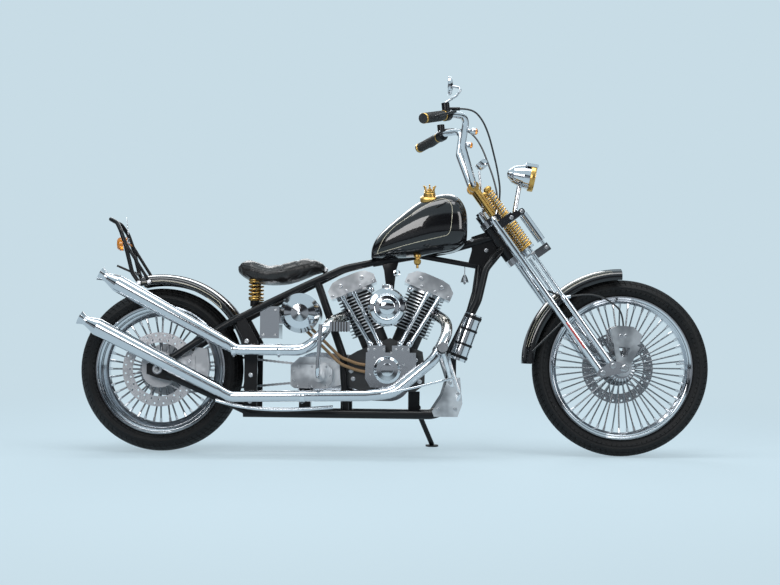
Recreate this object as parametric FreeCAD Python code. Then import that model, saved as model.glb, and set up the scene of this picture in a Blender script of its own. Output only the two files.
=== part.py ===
import FreeCAD, Part
import math
import os

# Chopper motorcycle with a rigid frame and a spring fork, standing on its side stand.
# Sizes are in millimetres. The pieces are modelled with the motorcycle upright: x runs
# forward from the rear axle, y runs to its left, z runs up from the ground. place() then
# leans every piece onto the side stand and centres the motorcycle over the origin.

# Stance
WHEELBASE = 1790.0
LEAN_DEG = 4.0
RAKE_DEG = 35.75
STEER_AXIS_BEHIND_AXLE = 99.7
STEER_AXIS_BELOW_AXLE = 31.7
RUNNING_GAP = 0.3
PIN_GAP = 0.05

# Rear wheel
REAR_TYRE_R = 317.5
REAR_TYRE_W = 150.0
REAR_CROWN_R = 90.0
REAR_RIM_R = 250.0
REAR_RIM_W = 124.0
REAR_WELL_R = 206.0
RIM_FLANGE_W = 8.0
RIM_FLANGE_H = 13.0
REAR_SPOKES = 40
REAR_SPOKE_R = 3.5

# Front wheel
FRONT_TYRE_R = 345.0
FRONT_TYRE_W = 95.0
FRONT_CROWN_R = 52.0
FRONT_RIM_R = 279.0
FRONT_RIM_W = 72.0
FRONT_WELL_R = 252.0
FRONT_SPOKES = 52
FRONT_SPOKE_R = 3.0

# Hubs, axles and brakes
AXLE_R = 10.0
HUB_BARREL_R = 27.0
SPACER_R = 15.0
SPACER_GAP = 1.0
HUB_FLANGE_R = 48.0
HUB_FLANGE_T = 7.0
REAR_HUB_HALF = 46.0
FRONT_HUB_HALF = 40.0
SPOKE_LACE_R = 41.0
DISC_T = 6.0
DISC_HOLE_R = 4.0
REAR_DISC_R = 143.0
REAR_DISC_RING_R = 104.0
REAR_DISC_Y = -81.0
REAR_CARRIER_Y = -107.0
REAR_CARRIER_T = 10.0
FRONT_DISC_R = 140.0
FRONT_DISC_RING_R = 102.0
FRONT_DISC_Y = 64.0
FRONT_BRACKET_Y = 78.0
FRONT_BRACKET_T = 7.0
SPROCKET_R = 100.0
SPROCKET_Y = 94.0
SPROCKET_T = 8.0

# Fork
LEG_Y = 100.0
LEG_R = 14.0
LEG_FORWARD = 20.0
LEG_TOP = 722.0
LEG_SLEEVE_FROM = 560.0
SPRING_LEG_FORWARD = 69.0
SPRING_LEG_R = 13.0
SPRING_ROD_R = 7.5
SPRING_LEG_SHOULDER = 316.0
NECK_LOW = 562.0
NECK_HIGH = 712.0
NECK_R = 27.0
STEM_R = 16.0
CROWN_T = 24.0
BEARING_GAP = 1.5
ROCKER_Y = 118.0
ROCKER_T = 12.0
ROCKER_PIN_R = 9.0
LOW_SPRING_FROM = 560.0
PERCH_FROM = 677.0
PERCH_T = 32.0
HIGH_SPRING_TO = 815.0
LOW_SPRING_R = 22.0
HIGH_SPRING_R = 17.0
DAMPER_FORWARD = 138.0
DAMPER_TOP = 690.0
DAMPER_LOW = 519.0
DAMPER_R = 17.0
LOW_SPRING_TURNS = 10
HIGH_SPRING_TURNS = 9
SPRING_WIRE_R = 3.6

# Handlebar
BAR_R = 12.7
GRIP_R = 18.5
MIRROR_R = 36.0
MIRROR_THREAD_R = 4.0
MIRROR_THREAD_LENGTH = 14.0

# Frame
BACKBONE_R = 16.0
RAIL_R = 13.0
CRADLE_R = 16.0
CRADLE_Y = 130.0
CRADLE_Z = 155.0
STAY_Y = 135.0
STAY_R = 13.0
PLATE_T = 10.0
BEND_R = 90.0

# Engine
CRANK_X = 889.0
CRANK_Z = 288.0
CYLINDER_DEG = 22.5
CASE_HALF_W = 70.0
DECK_R = 150.0
BARREL_SPIGOT_R = 54.0
BARREL_CORE_R = 60.0
FIN_R = 75.0
FINS_FROM = 202.0
HEAD_TO = 370.0
FIN_PITCH = 13.0
FIN_T = 4.0
ROCKER_BOX_L = 190.0
ROCKER_BOX_H = 64.0
PUSHROD_R = 8.0
PUSHROD_Y = -91.0

# Exhaust
EXHAUST_Y = -228.0
PIPE_R = 21.0
PIPE_WALL = 2.0
MUFFLER_R = 33.0
HANGER_X = 352.0
HANGER_Z = {"exhaust_upper": 396.0, "exhaust_lower": 220.0}

# Body
FENDER_T = 3.0
REAR_FENDER_R = 372.0
REAR_FENDER_HALF_W = 85.0
FRONT_FENDER_R = 388.0
FRONT_FENDER_HALF_W = 62.0
SEAT_SPRING_R = 24.0
SEAT_SPRING_Y = 75.0

# Cables and hoses
CABLE_R = 3.5
CABLE_GLAND_R = 6.5
CABLE_START = (WHEELBASE - 648.0, 262.0, 1316.0)
CABLE_SECOND = (WHEELBASE - 602.0, 256.0, 1318.0)
CABLE_CLIP = (WHEELBASE - 490.0, 72.0, 952.0)
CABLE_CLIP_RISE = (8.0, 0.0, 34.0)
HOSE_START = (WHEELBASE - 206.0, 100.0, 618.0)
HOSE_SECOND = (WHEELBASE - 146.0, 98.0, 630.0)
BAR_END = (WHEELBASE - 788.0, 395.0, 1257.0)
BAR_BEND = (WHEELBASE - 680.0, 240.0, 1298.0)
BAR_CLAMP = (WHEELBASE - 582.0, 0.0, 1046.0)
CONTROL_AT = 0.82
RISER_Y = 50.0
RISER_FORWARD = 37.0
HEADLIGHT_AT = (WHEELBASE - 354.0, 0.0, 1089.0)
HEADLIGHT_AIM = (1.0, 0.0, -0.18)
HOSE_R = 3.5
OIL_LINE_R = 6.0

# Side stand
STAND_PIVOT = (1000.0, 172.0, 172.0)
STAND_FOOT = (1065.0, 262.0)
STAND_FOLDED = (-1.0, 0.12, 0.02)
STAND_LEG_R = 10.0
STAND_PIN_R = 6.0
STAND_KNUCKLE_R = 16.0
STAND_KNUCKLE_T = 16.0
STAND_FOOT_R = 26.0
STAND_FOOT_T = 6.0

# Number plate bracket
PLATE_BRACKET_T = 8.0
PLATE_BOLT_R = 3.2
PLATE_BOLT_SPACING = 60.0

Y_AXIS = FreeCAD.Vector(0, 1, 0)


def vec(point):
    return FreeCAD.Vector(*point)


def rod(start, end, radius, bore=0.0):
    """Round bar, or a tube when it has a bore."""
    a = vec(start)
    run = vec(end) - a
    bar = Part.makeCylinder(radius, run.Length, a, run)
    if bore:
        bar = bar.cut(Part.makeCylinder(bore, run.Length, a, run))
    return bar


def taper(start, end, start_radius, end_radius):
    a = vec(start)
    run = vec(end) - a
    return Part.makeCone(start_radius, end_radius, run.Length, a, run)


def box(low, high):
    size = [high[i] - low[i] for i in range(3)]
    return Part.makeBox(*size, vec(low))


def plate(outline, y_from, y_to):
    """Flat plate with an outline in the x-z plane and its thickness along y."""
    points = [FreeCAD.Vector(x, y_from, z) for x, z in outline]
    face = Part.Face(Part.makePolygon(points + [points[0]]))
    return face.extrude(FreeCAD.Vector(0, y_to - y_from, 0))


def lathe(profile, origin, axis=(0.0, 1.0, 0.0)):
    """Solid of revolution from a closed outline of (radius, distance along the axis)."""
    along = vec(axis)
    along.normalize()
    across = along.cross(FreeCAD.Vector(0, 0, 1) if abs(along.z) < 0.9 else FreeCAD.Vector(1, 0, 0))
    across.normalize()
    base = vec(origin)
    points = [base + across * r + along * t for r, t in profile]
    face = Part.Face(Part.makePolygon(points + [points[0]]))
    return face.revolve(base, along, 360)


def bent_path(points, bend_r):
    """Straight runs joined by tangent arcs of bend_r, or less where a run is short."""
    corners = [vec(p) for p in points]
    edges = []
    start = corners[0]
    for before, corner, after in zip(corners, corners[1:], corners[2:]):
        back = before - corner
        ahead = after - corner
        shorter = min(back.Length, ahead.Length)
        back.normalize()
        ahead.normalize()
        half_turn = (math.pi - back.getAngle(ahead)) / 2
        reach = min(0.45 * shorter, bend_r * math.tan(half_turn))
        radius = reach / math.tan(half_turn)
        middle = back + ahead
        middle.normalize()
        centre = corner + middle * (radius / math.cos(half_turn))
        arc_start = corner + back * reach
        arc_end = corner + ahead * reach
        edges.append(Part.makeLine(start, arc_start))
        edges.append(Part.Arc(arc_start, centre - middle * radius, arc_end).toShape())
        start = arc_end
    edges.append(Part.makeLine(start, corners[-1]))
    return Part.Wire(edges)


def bent_rod(points, radius, bend_r=BEND_R, bore=0.0):
    """Bar or tube bent along a route."""
    path = bent_path(points, bend_r)
    a = vec(points[0])
    along = vec(points[1]) - a

    def swept(r):
        ring = Part.Wire(Part.makeCircle(r, a, along))
        return path.makePipeShell([ring], True, False)

    bar = swept(radius)
    if bore:
        bar = bar.cut(swept(bore))
    return bar


def join(pieces):
    """Pieces that meet, made one."""
    return pieces[0].multiFuse(pieces[1:])


def on_side(point, side):
    """The same point on the right (-1) or the left (1) of the motorcycle."""
    return vec((point[0], side * point[1], point[2]))


def mirrored(points):
    return [(x, -y, z) for x, y, z in points]


def loft(sections):
    """Skin through closed sections, each a list of points."""
    wires = []
    for section in sections:
        curve = Part.BSplineCurve()
        curve.interpolate([vec(p) for p in section], PeriodicFlag=True)
        wires.append(Part.Wire(curve.toShape()))
    return Part.makeLoft(wires, True, False)


def rounded_section(x, low, high, half_w, squareness=0.72, count=16):
    """Closed cross-section at x between two heights, between an ellipse and a box in form."""
    points = []
    for i in range(count):
        turn = 2 * math.pi * i / count
        c = math.cos(turn)
        s = math.sin(turn)
        y = half_w * math.copysign(abs(c) ** squareness, c)
        z = (high + low) / 2 + (high - low) / 2 * math.copysign(abs(s) ** squareness, s)
        points.append((x, y, z))
    return points


def spring(start, end, coil_r, wire_r, turns, hole_r):
    """Coil spring drawn as a sleeve with one round ridge a turn."""
    a = vec(start)
    run = vec(end) - a
    pitch = run.Length / turns
    ridge_at = coil_r - wire_r
    profile = [(hole_r, 0), (ridge_at, 0)]
    for i in range(turns):
        for share, height in ((0.1, 0.6), (0.3, 1.0), (0.7, 1.0), (0.9, 0.6)):
            profile.append((ridge_at + wire_r * height, (i + share) * pitch))
        profile.append((ridge_at, (i + 1) * pitch))
    profile.append((hole_r, run.Length))
    return lathe(profile, start, (run.x, run.y, run.z))


REAR_AXLE = (0.0, 0.0, REAR_TYRE_R)
FRONT_AXLE = (WHEELBASE, 0.0, FRONT_TYRE_R)
RAKE = math.radians(RAKE_DEG)
UP_AXIS = (-math.sin(RAKE), math.cos(RAKE))
AHEAD = (math.cos(RAKE), math.sin(RAKE))
AXIS_FOOT = (FRONT_AXLE[0] - STEER_AXIS_BEHIND_AXLE, FRONT_AXLE[2] - STEER_AXIS_BELOW_AXLE)


def fork(along, ahead, y=0.0):
    """Point on the fork: distance up the steering axis, then ahead of it, then sideways."""
    x = AXIS_FOOT[0] + along * UP_AXIS[0] + ahead * AHEAD[0]
    z = AXIS_FOOT[1] + along * UP_AXIS[1] + ahead * AHEAD[1]
    return (x, y, z)


def spring_nut(base):
    """Ball-ended nut that closes the upper spring on its rod."""
    hole = SPRING_ROD_R + PIN_GAP
    outline = [(hole, 0), (16, 0), (16, 5), (11, 8), (15, 14), (16, 20), (12, 27), (0, 30), (0, 14.1),
               (hole, 14.1)]
    return lathe(outline, base, (UP_AXIS[0], 0, UP_AXIS[1]))


def fork_box(along, ahead, y_from, y_to):
    """Block squared to the fork: (low, high) along the axis, (low, high) ahead of it."""
    corners = [(along[0], ahead[0]), (along[0], ahead[1]), (along[1], ahead[1]), (along[1], ahead[0])]
    outline = [(fork(a, f)[0], fork(a, f)[2]) for a, f in corners]
    return plate(outline, y_from, y_to)


def cylinder_point(side, along, across=0.0, y=0.0):
    """Point in the plane of one cylinder: side -1 is the rear one, along its bore, across it."""
    lean = math.radians(CYLINDER_DEG) * side
    x = CRANK_X + along * math.sin(lean) + across * math.cos(lean)
    z = CRANK_Z + along * math.cos(lean) - across * math.sin(lean)
    return (x, y, z)


def wheel_point(centre, radius, degrees, y=0.0):
    turn = math.radians(degrees)
    return (centre[0] + radius * math.cos(turn), y, centre[2] + radius * math.sin(turn))


def tyre(centre, outer_r, width, crown_r, rim_r, rim_w):
    """Tyre with a round crown and straight side walls, its beads between the rim flanges."""
    half = width / 2
    shoulder_r = outer_r - crown_r + math.sqrt(crown_r ** 2 - half ** 2)
    bead_half = rim_w / 2 - RIM_FLANGE_W - RUNNING_GAP
    bead_r = rim_r - RIM_FLANGE_H + RUNNING_GAP
    wall = 12.0
    corners = [(bead_r, -bead_half), (rim_r + 1, -bead_half), (shoulder_r, -half), (outer_r, 0),
               (shoulder_r, half), (rim_r + 1, bead_half), (bead_r, bead_half),
               (bead_r, bead_half - wall), (shoulder_r - wall, half - wall),
               (shoulder_r - wall, wall - half), (bead_r, wall - bead_half)]
    points = [FreeCAD.Vector(centre[0] + r, y, centre[2]) for r, y in corners]
    edges = [Part.makeLine(points[0], points[1]), Part.makeLine(points[1], points[2]),
             Part.Arc(points[2], points[3], points[4]).toShape()]
    for start, end in zip(points[4:], points[5:] + [points[0]]):
        edges.append(Part.makeLine(start, end))
    return Part.Face(Part.Wire(edges)).revolve(vec(centre), Y_AXIS, 360)


def rim(centre, flange_r, width, well_r):
    """Chrome rim with two flanges and a drop centre."""
    half = width / 2
    seat_r = flange_r - RIM_FLANGE_H
    outline = [
        (flange_r, -half), (flange_r, -half + 5), (seat_r, -half + RIM_FLANGE_W), (seat_r, -half * 0.6),
        (well_r + 5, -half * 0.35), (well_r + 5, half * 0.35), (seat_r, half * 0.6),
        (seat_r, half - RIM_FLANGE_W), (flange_r, half - 5), (flange_r, half), (flange_r - 5, half),
        (seat_r - 5, half - 9), (seat_r - 5, half * 0.58), (well_r, half * 0.33),
        (well_r, -half * 0.33), (seat_r - 5, -half * 0.58), (seat_r - 5, -half + 9),
        (flange_r - 5, -half),
    ]
    return lathe(outline, centre)


def laced_wheel(centre, flange_r, width, well_r, hub_half, spokes, spoke_r):
    """Rim, hub and straight spokes as one piece."""
    bore = AXLE_R + PIN_GAP
    hub = lathe([
        (bore, -hub_half), (HUB_FLANGE_R, -hub_half), (HUB_FLANGE_R, -hub_half + HUB_FLANGE_T),
        (HUB_BARREL_R, -hub_half + HUB_FLANGE_T), (HUB_BARREL_R, hub_half - HUB_FLANGE_T),
        (HUB_FLANGE_R, hub_half - HUB_FLANGE_T), (HUB_FLANGE_R, hub_half), (bore, hub_half),
    ], centre)
    pieces = [hub, rim(centre, flange_r, width, well_r)]
    lace_y = hub_half - HUB_FLANGE_T / 2
    well_y = width * 0.12
    for i in range(spokes):
        side = 1 if i % 2 else -1
        angle = 360 * i / spokes
        inner = wheel_point(centre, SPOKE_LACE_R, angle, side * lace_y)
        outer = wheel_point(centre, well_r + 2.5, angle, side * well_y)
        pieces.append(rod(inner, outer, spoke_r))
    return join(pieces)


def brake_disc(centre, outer_r, ring_r, y, hub_face, holes=24):
    """Drilled disc on a spoked carrier that bolts to the hub flange."""
    low = y - DISC_T / 2
    high = y + DISC_T / 2
    ring = lathe([(ring_r, low), (outer_r, low), (outer_r, high), (ring_r, high)], centre)
    drills = []
    for i in range(holes):
        for share, shift in ((0.28, 0), (0.72, 0.5)):
            r = ring_r + share * (outer_r - ring_r)
            at = wheel_point(centre, r, 360 * (i + shift) / holes, low - 1)
            drills.append(Part.makeCylinder(DISC_HOLE_R, DISC_T + 2, vec(at), Y_AXIS))
    ring = ring.cut(Part.makeCompound(drills))
    carrier_r = HUB_FLANGE_R + 22
    bore = HUB_BARREL_R
    near, far = sorted((hub_face, high if hub_face < y else low))
    boss = lathe([(bore, near), (HUB_FLANGE_R - 2, near), (HUB_FLANGE_R - 2, far), (bore, far)], centre)
    pan = lathe([(bore, low), (carrier_r, low), (carrier_r, high), (bore, high)], centre)
    arms = []
    for i in range(6):
        inner = wheel_point(centre, carrier_r - 4, 60 * i, y)
        outer = wheel_point(centre, ring_r + 3, 60 * i + 14, y)
        arms.append(rod(inner, outer, DISC_T / 2 - 0.2))
    return join([ring, pan, boss] + arms)


def chain_loop(front, front_r, rear, rear_r, thickness, y_from, y_to):
    """Band that runs round two sprockets."""
    def stadium(extra):
        cylinders = [
            Part.makeCylinder(front_r + extra, y_to - y_from, FreeCAD.Vector(front[0], y_from, front[1]),
                              Y_AXIS),
            Part.makeCylinder(rear_r + extra, y_to - y_from, FreeCAD.Vector(rear[0], y_from, rear[1]),
                              Y_AXIS),
        ]
        dx = front[0] - rear[0]
        dz = front[1] - rear[1]
        gap = math.hypot(dx, dz)
        tilt = math.atan2(dz, dx)
        turn = math.acos((rear_r - front_r) / gap)
        outline = []
        for centre, r, angle in ((rear, rear_r, tilt + turn), (front, front_r, tilt + turn),
                                 (front, front_r, tilt - turn), (rear, rear_r, tilt - turn)):
            reach = r + extra
            outline.append((centre[0] + reach * math.cos(angle), centre[1] + reach * math.sin(angle)))
        return join(cylinders + [plate(outline, y_from, y_to)])

    return stadium(thickness).cut(stadium(0.0))


def fender(centre, outer_r, half_w, drop, from_deg, to_deg):
    """Mudguard: a crowned strip with turned-down sides, swept about the wheel's axle."""
    crown = [(-half_w, -drop), (-half_w, -drop * 0.45), (-half_w * 0.62, -drop * 0.12), (0, 0),
             (half_w * 0.62, -drop * 0.12), (half_w, -drop * 0.45), (half_w, -drop)]
    inner_w = half_w - FENDER_T
    under = [(inner_w, -drop), (inner_w, -drop * 0.45 - 1), (inner_w * 0.62, -drop * 0.12 - FENDER_T),
             (0, -FENDER_T), (-inner_w * 0.62, -drop * 0.12 - FENDER_T), (-inner_w, -drop * 0.45 - 1),
             (-inner_w, -drop)]

    def curve(points):
        line = Part.BSplineCurve()
        line.interpolate([FreeCAD.Vector(centre[0] + outer_r + r, y, centre[2]) for y, r in points])
        return line.toShape()

    top = curve(crown)
    low = curve(under)
    ends = [Part.makeLine(top.Vertexes[-1].Point, low.Vertexes[0].Point),
            Part.makeLine(low.Vertexes[-1].Point, top.Vertexes[0].Point)]
    section = Part.Face(Part.Wire([top, ends[0], low, ends[1]]))
    section.rotate(vec(centre), Y_AXIS, -from_deg)
    return section.revolve(vec(centre), Y_AXIS, from_deg - to_deg)


def make_wheels():
    nodes = {}
    nodes["rear_tyre"] = tyre(REAR_AXLE, REAR_TYRE_R, REAR_TYRE_W, REAR_CROWN_R, REAR_RIM_R, REAR_RIM_W)
    nodes["rear_rim"] = laced_wheel(REAR_AXLE, REAR_RIM_R, REAR_RIM_W, REAR_WELL_R,
                                    REAR_HUB_HALF, REAR_SPOKES, REAR_SPOKE_R)
    nodes["rear_disc"] = brake_disc(REAR_AXLE, REAR_DISC_R, REAR_DISC_RING_R, REAR_DISC_Y, -REAR_HUB_HALF)
    nodes["front_tyre"] = tyre(FRONT_AXLE, FRONT_TYRE_R, FRONT_TYRE_W, FRONT_CROWN_R, FRONT_RIM_R,
                               FRONT_RIM_W)
    nodes["front_rim"] = laced_wheel(FRONT_AXLE, FRONT_RIM_R, FRONT_RIM_W, FRONT_WELL_R,
                                     FRONT_HUB_HALF, FRONT_SPOKES, FRONT_SPOKE_R)
    nodes["front_disc"] = brake_disc(FRONT_AXLE, FRONT_DISC_R, FRONT_DISC_RING_R, FRONT_DISC_Y,
                                     FRONT_HUB_HALF)
    low = SPROCKET_Y - SPROCKET_T / 2
    high = SPROCKET_Y + SPROCKET_T / 2
    nodes["rear_sprocket"] = lathe([
        (HUB_BARREL_R, REAR_HUB_HALF), (HUB_FLANGE_R, REAR_HUB_HALF), (HUB_FLANGE_R, low),
        (SPROCKET_R, low), (SPROCKET_R, high), (HUB_BARREL_R, high),
    ], REAR_AXLE)
    return nodes


def make_rear_axle():
    """Axle with a nut on each end and a spacer sleeve on each side of the hub."""
    plate_out = STAY_Y + PLATE_T / 2
    plate_in = STAY_Y - PLATE_T / 2
    half = plate_out + 16
    pieces = [rod((0, -half, REAR_TYRE_R), (0, half, REAR_TYRE_R), AXLE_R)]
    for side in (-1, 1):
        nut = side * plate_out
        pieces.append(rod((0, nut, REAR_TYRE_R), (0, nut + side * 12, REAR_TYRE_R), 19))
        hub = side * (REAR_HUB_HALF + SPACER_GAP)
        pieces.append(rod((0, hub, REAR_TYRE_R), (0, side * plate_in, REAR_TYRE_R), SPACER_R))
    return join(pieces)


def make_frame():
    nodes = {}
    neck_low = fork(NECK_LOW, 0)
    neck_high = fork(NECK_HIGH, 0)
    neck_mid = fork(NECK_LOW + 0.7 * (NECK_HIGH - NECK_LOW), 0)
    neck_x = neck_low[0]
    pieces = [rod(neck_low, neck_high, NECK_R)]
    pieces.append(bent_rod([(817, 0, 745), (1100, 0, 797), neck_mid], BACKBONE_R, 300))
    pieces.append(rod((1000, 0, 775), (neck_x - 122, 0, 735), RAIL_R * 0.8))
    gusset = [(158, 852), (100, 872), (62, 862), (24, 802), (62, 760), (129, 724), (169, 751), (156, 800)]
    pieces.append(plate([(neck_x - back, z) for back, z in gusset], -9, 9))
    for side in (-1, 1):
        pieces.append(bent_rod([(302, side * STAY_Y, 515), (408, side * 118, 572), (566, side * 94, 652),
                                (705, side * 46, 720), (835, 0, 751)], RAIL_R, 200))
    pieces.append(rod((470, -108, 606), (470, 108, 606), RAIL_R * 0.8))
    for side in (-1, 1):
        y = side * SEAT_SPRING_Y
        pieces.append(rod((362, y, 566), (362, y, 676), 6))
        pieces.append(rod((362, y, 566), (362, y, 590), 17))
        pieces.append(rod((362, y, 572), (362, side * 128, 556), 8))
    pieces.append(rod((636, 0, 686), (622, 0, 728), 8))
    pieces.append(rod((636, -68, 686), (636, 68, 686), 7))
    backbone = join(pieces)
    backbone = backbone.cut(rod(fork(NECK_LOW - 5, 0), fork(NECK_HIGH + 5, 0), STEM_R + 3))
    nodes["frame_backbone"] = backbone

    pieces = []
    for side in (-1, 1):
        y = side * CRADLE_Y
        pieces.append(bent_rod([(neck_x - 40, side * 12, 806), (neck_x - 106, side * 60, 724),
                                (neck_x - 136, side * 106, 600), (1128, y, 395), (1128, y, CRADLE_Z),
                                (330, y, CRADLE_Z)], CRADLE_R, BEND_R))
        pieces.append(bent_rod([(neck_x - 130, side * 12, 735), (neck_x - 140, side * 70, 640),
                                (neck_x - 166, side * 112, 540)], RAIL_R * 0.8, BEND_R))
        pieces.append(bent_rod([(604, side * 86, 662), (706, side * 90, 378), (722, side * 90, CRADLE_Z)],
                               RAIL_R, BEND_R))
    for x, top in ((985, CRANK_Z - 45), (722, 251), (560, 251)):
        pieces.append(rod((x, -CRADLE_Y, CRADLE_Z), (x, CRADLE_Y, CRADLE_Z), RAIL_R))
        pieces.append(box((x - 22, -45, CRADLE_Z), (x + 22, 45, top)))
    hinge = stand_axis()
    pivot = vec(STAND_PIVOT)
    lug_face = pivot - hinge * (STAND_KNUCKLE_T / 2 + RUNNING_GAP)
    pieces.append(rod(tuple(pivot - hinge * 46), tuple(lug_face), STAND_KNUCKLE_R))
    pieces.append(rod(tuple(lug_face), tuple(pivot + hinge * (STAND_KNUCKLE_T / 2 + 5)), STAND_PIN_R))
    neck = rod(neck_low, neck_high, NECK_R)
    nodes["frame_cradle"] = join(pieces).cut(nodes["frame_backbone"]).cut(neck)

    pieces = []
    for side in (-1, 1):
        y = side * STAY_Y
        low = y - PLATE_T / 2
        high = y + PLATE_T / 2
        pieces.append(plate([(290, 524), (322, 538), (382, 430), (382, 150), (332, 150), (332, 425)], low,
                            high))
        pieces.append(bent_rod([(38, y, 352), (150, y, 428), (304, y, 520)], STAY_R, 400))
        pieces.append(rod((36, y, 298), (345, y, 160), STAY_R))
        pieces.append(plate([(-42, 300), (-42, 338), (-14, 350), (52, 378), (66, 350), (66, 296), (52, 274),
                             (0, 285)], low, high))
    stays = join(pieces)
    stays = stays.cut(rod((0, -200, REAR_TYRE_R), (0, 200, REAR_TYRE_R), AXLE_R + PIN_GAP))
    stays = stays.cut(nodes["frame_cradle"])
    nodes["rear_stays"] = stays.cut(nodes["frame_backbone"])
    return nodes


def make_engine():
    nodes = {}
    cx = CRANK_X
    cz = CRANK_Z
    deck_rear = cylinder_point(-1, DECK_R, -FIN_R)
    deck_front = cylinder_point(1, DECK_R, FIN_R)
    deck_mid = cylinder_point(-1, DECK_R, DECK_R * math.tan(math.radians(CYLINDER_DEG)))
    case = plate([
        (cx - 172, cz + 20), (cx - 160, cz - 28), (cx - 110, cz - 45), (cx + 100, cz - 45),
        (cx + 136, cz - 18), (cx + 136, cz + 50), (deck_front[0], deck_front[2]),
        (deck_mid[0], deck_mid[2]), (deck_rear[0], deck_rear[2]), (cx - 160, cz + 90),
    ], -CASE_HALF_W, CASE_HALF_W)
    nodes["crankcase"] = case

    barrels = []
    for side in (-1, 1):
        outline = [(0, DECK_R), (BARREL_SPIGOT_R, DECK_R), (BARREL_SPIGOT_R, FINS_FROM)]
        at = FINS_FROM
        while at + FIN_PITCH <= HEAD_TO:
            outline += [(FIN_R, at), (FIN_R, at + FIN_T), (BARREL_CORE_R, at + FIN_T),
                        (BARREL_CORE_R, at + FIN_PITCH)]
            at += FIN_PITCH
        outline += [(FIN_R, at), (FIN_R, HEAD_TO), (0, HEAD_TO)]
        axis = vec(cylinder_point(side, 1)) - vec(cylinder_point(side, 0))
        barrels.append(lathe(outline, cylinder_point(side, 0), (axis.x, axis.y, axis.z)))
    nodes["cylinders"] = Part.makeCompound(barrels)

    covers = []
    for side in (-1, 1):
        half = ROCKER_BOX_L / 2
        top = HEAD_TO + ROCKER_BOX_H
        corners = [(-half, HEAD_TO), (half, HEAD_TO), (half, HEAD_TO + 34), (half * 0.72, top - 6),
                   (half * 0.4, top), (-half * 0.4, top), (-half * 0.72, top - 6), (-half, HEAD_TO + 34)]
        outline = []
        for across, along in corners:
            point = cylinder_point(side, along, across)
            outline.append((point[0], point[2]))
        covers.append(plate(outline, -101, 78))
    nodes["rocker_covers"] = Part.makeCompound(covers)

    cover = plate([(cx - 95, cz + 5), (cx - 75, cz - 30), (cx + 60, cz - 34), (cx + 104, cz + 10),
                   (cx + 100, cz + 105), (cx - 92, cz + 105)], -CASE_HALF_W - 38, -CASE_HALF_W)
    dome = lathe([(0, -38), (50, -38), (50, -48), (42, -54), (0, -56)], (cx - 10, -CASE_HALF_W, cz + 38))
    lifters = []
    for x in (cx - 52, cx + 42):
        lifters.append(box((x - 34, -CASE_HALF_W - 38, cz + 105), (x + 34, -CASE_HALF_W - 4, cz + 132)))
    timing = [cover, dome] + lifters
    tubes = []
    for side in (-1, 1):
        for foot_x, across in ((cx + side * 70, 52 * side), (cx + side * 34, 4 * side)):
            head = cylinder_point(side, HEAD_TO + 4, across, PUSHROD_Y)
            tubes.append(rod((foot_x, PUSHROD_Y, cz + 126), head, PUSHROD_R))
    nodes["timing_cover"] = join(timing + tubes).cut(nodes["rocker_covers"])

    ac_x = cx - 13
    ac_z = cz + 277
    carb = [rod((ac_x, -150, ac_z), (ac_x, 0, ac_z), 24)]
    for side in (-1, 1):
        port = cylinder_point(side, 302, -60 * side)
        carb.append(rod((ac_x, 0, ac_z - 8), port, 20))
    can = lathe([
        (0, -150), (62, -150), (72, -158), (72, -198), (66, -206), (52, -210), (48, -206),
        (30, -208), (0, -210),
    ], (ac_x, 0, ac_z))
    cleaner = join(carb + [can]).cut(nodes["cylinders"])
    nodes["air_cleaner"] = max(cleaner.Solids, key=lambda solid: solid.Volume)

    gearbox = plate([(505, 262), (520, 251), (640, 251), (cx - 174, 270), (cx - 174, 345), (640, 372),
                     (540, 372), (505, 340)], -60, 60)
    spindle = lathe([(0, 60), (22, 60), (22, SPROCKET_Y - 6), (40, SPROCKET_Y - 6), (40, SPROCKET_Y + 6),
                     (20, SPROCKET_Y + 6), (20, 108), (0, 108)], (600, 0, 300))
    cover = plate([(509, 268), (530, 252), (650, 252), (668, 275), (668, 325), (650, 343), (530, 343),
                   (509, 328)], -104, -60)
    nodes["gearbox"] = join([gearbox, spindle, cover, rod((617, -120, 300), (617, -104, 300), 24)])
    arm = bent_rod([(617, -120, 300), (617, -268, 300), (628, -268, 494)], 8, 30)
    pedal = rod((626, -268, 486), (745, -268, 486), 5)
    rubber = box((662, -286, 468), (738, -250, 504))
    nodes["kick_arm"] = join([arm, pedal, rubber])

    drum = rod((cx, CASE_HALF_W, cz), (cx, 108, cz), 62)
    primary = [drum]
    for x, z, r in ((cx, cz, 86), (600, 300, 94)):
        primary.append(lathe([(0, 108), (r, 108), (r, 160), (r - 10, 170), (0, 174)], (x, 0, z)))
    primary.append(plate([(cx, cz + 86), (600, 394), (600, 206), (cx, cz - 86)], 108, 168))
    nodes["primary_cover"] = join(primary)
    nodes["drive_chain"] = chain_loop((600, 300), 40.5, (0, REAR_TYRE_R), SPROCKET_R + 0.8, 11,
                                      SPROCKET_Y - 5, SPROCKET_Y + 5)
    return nodes


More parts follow.
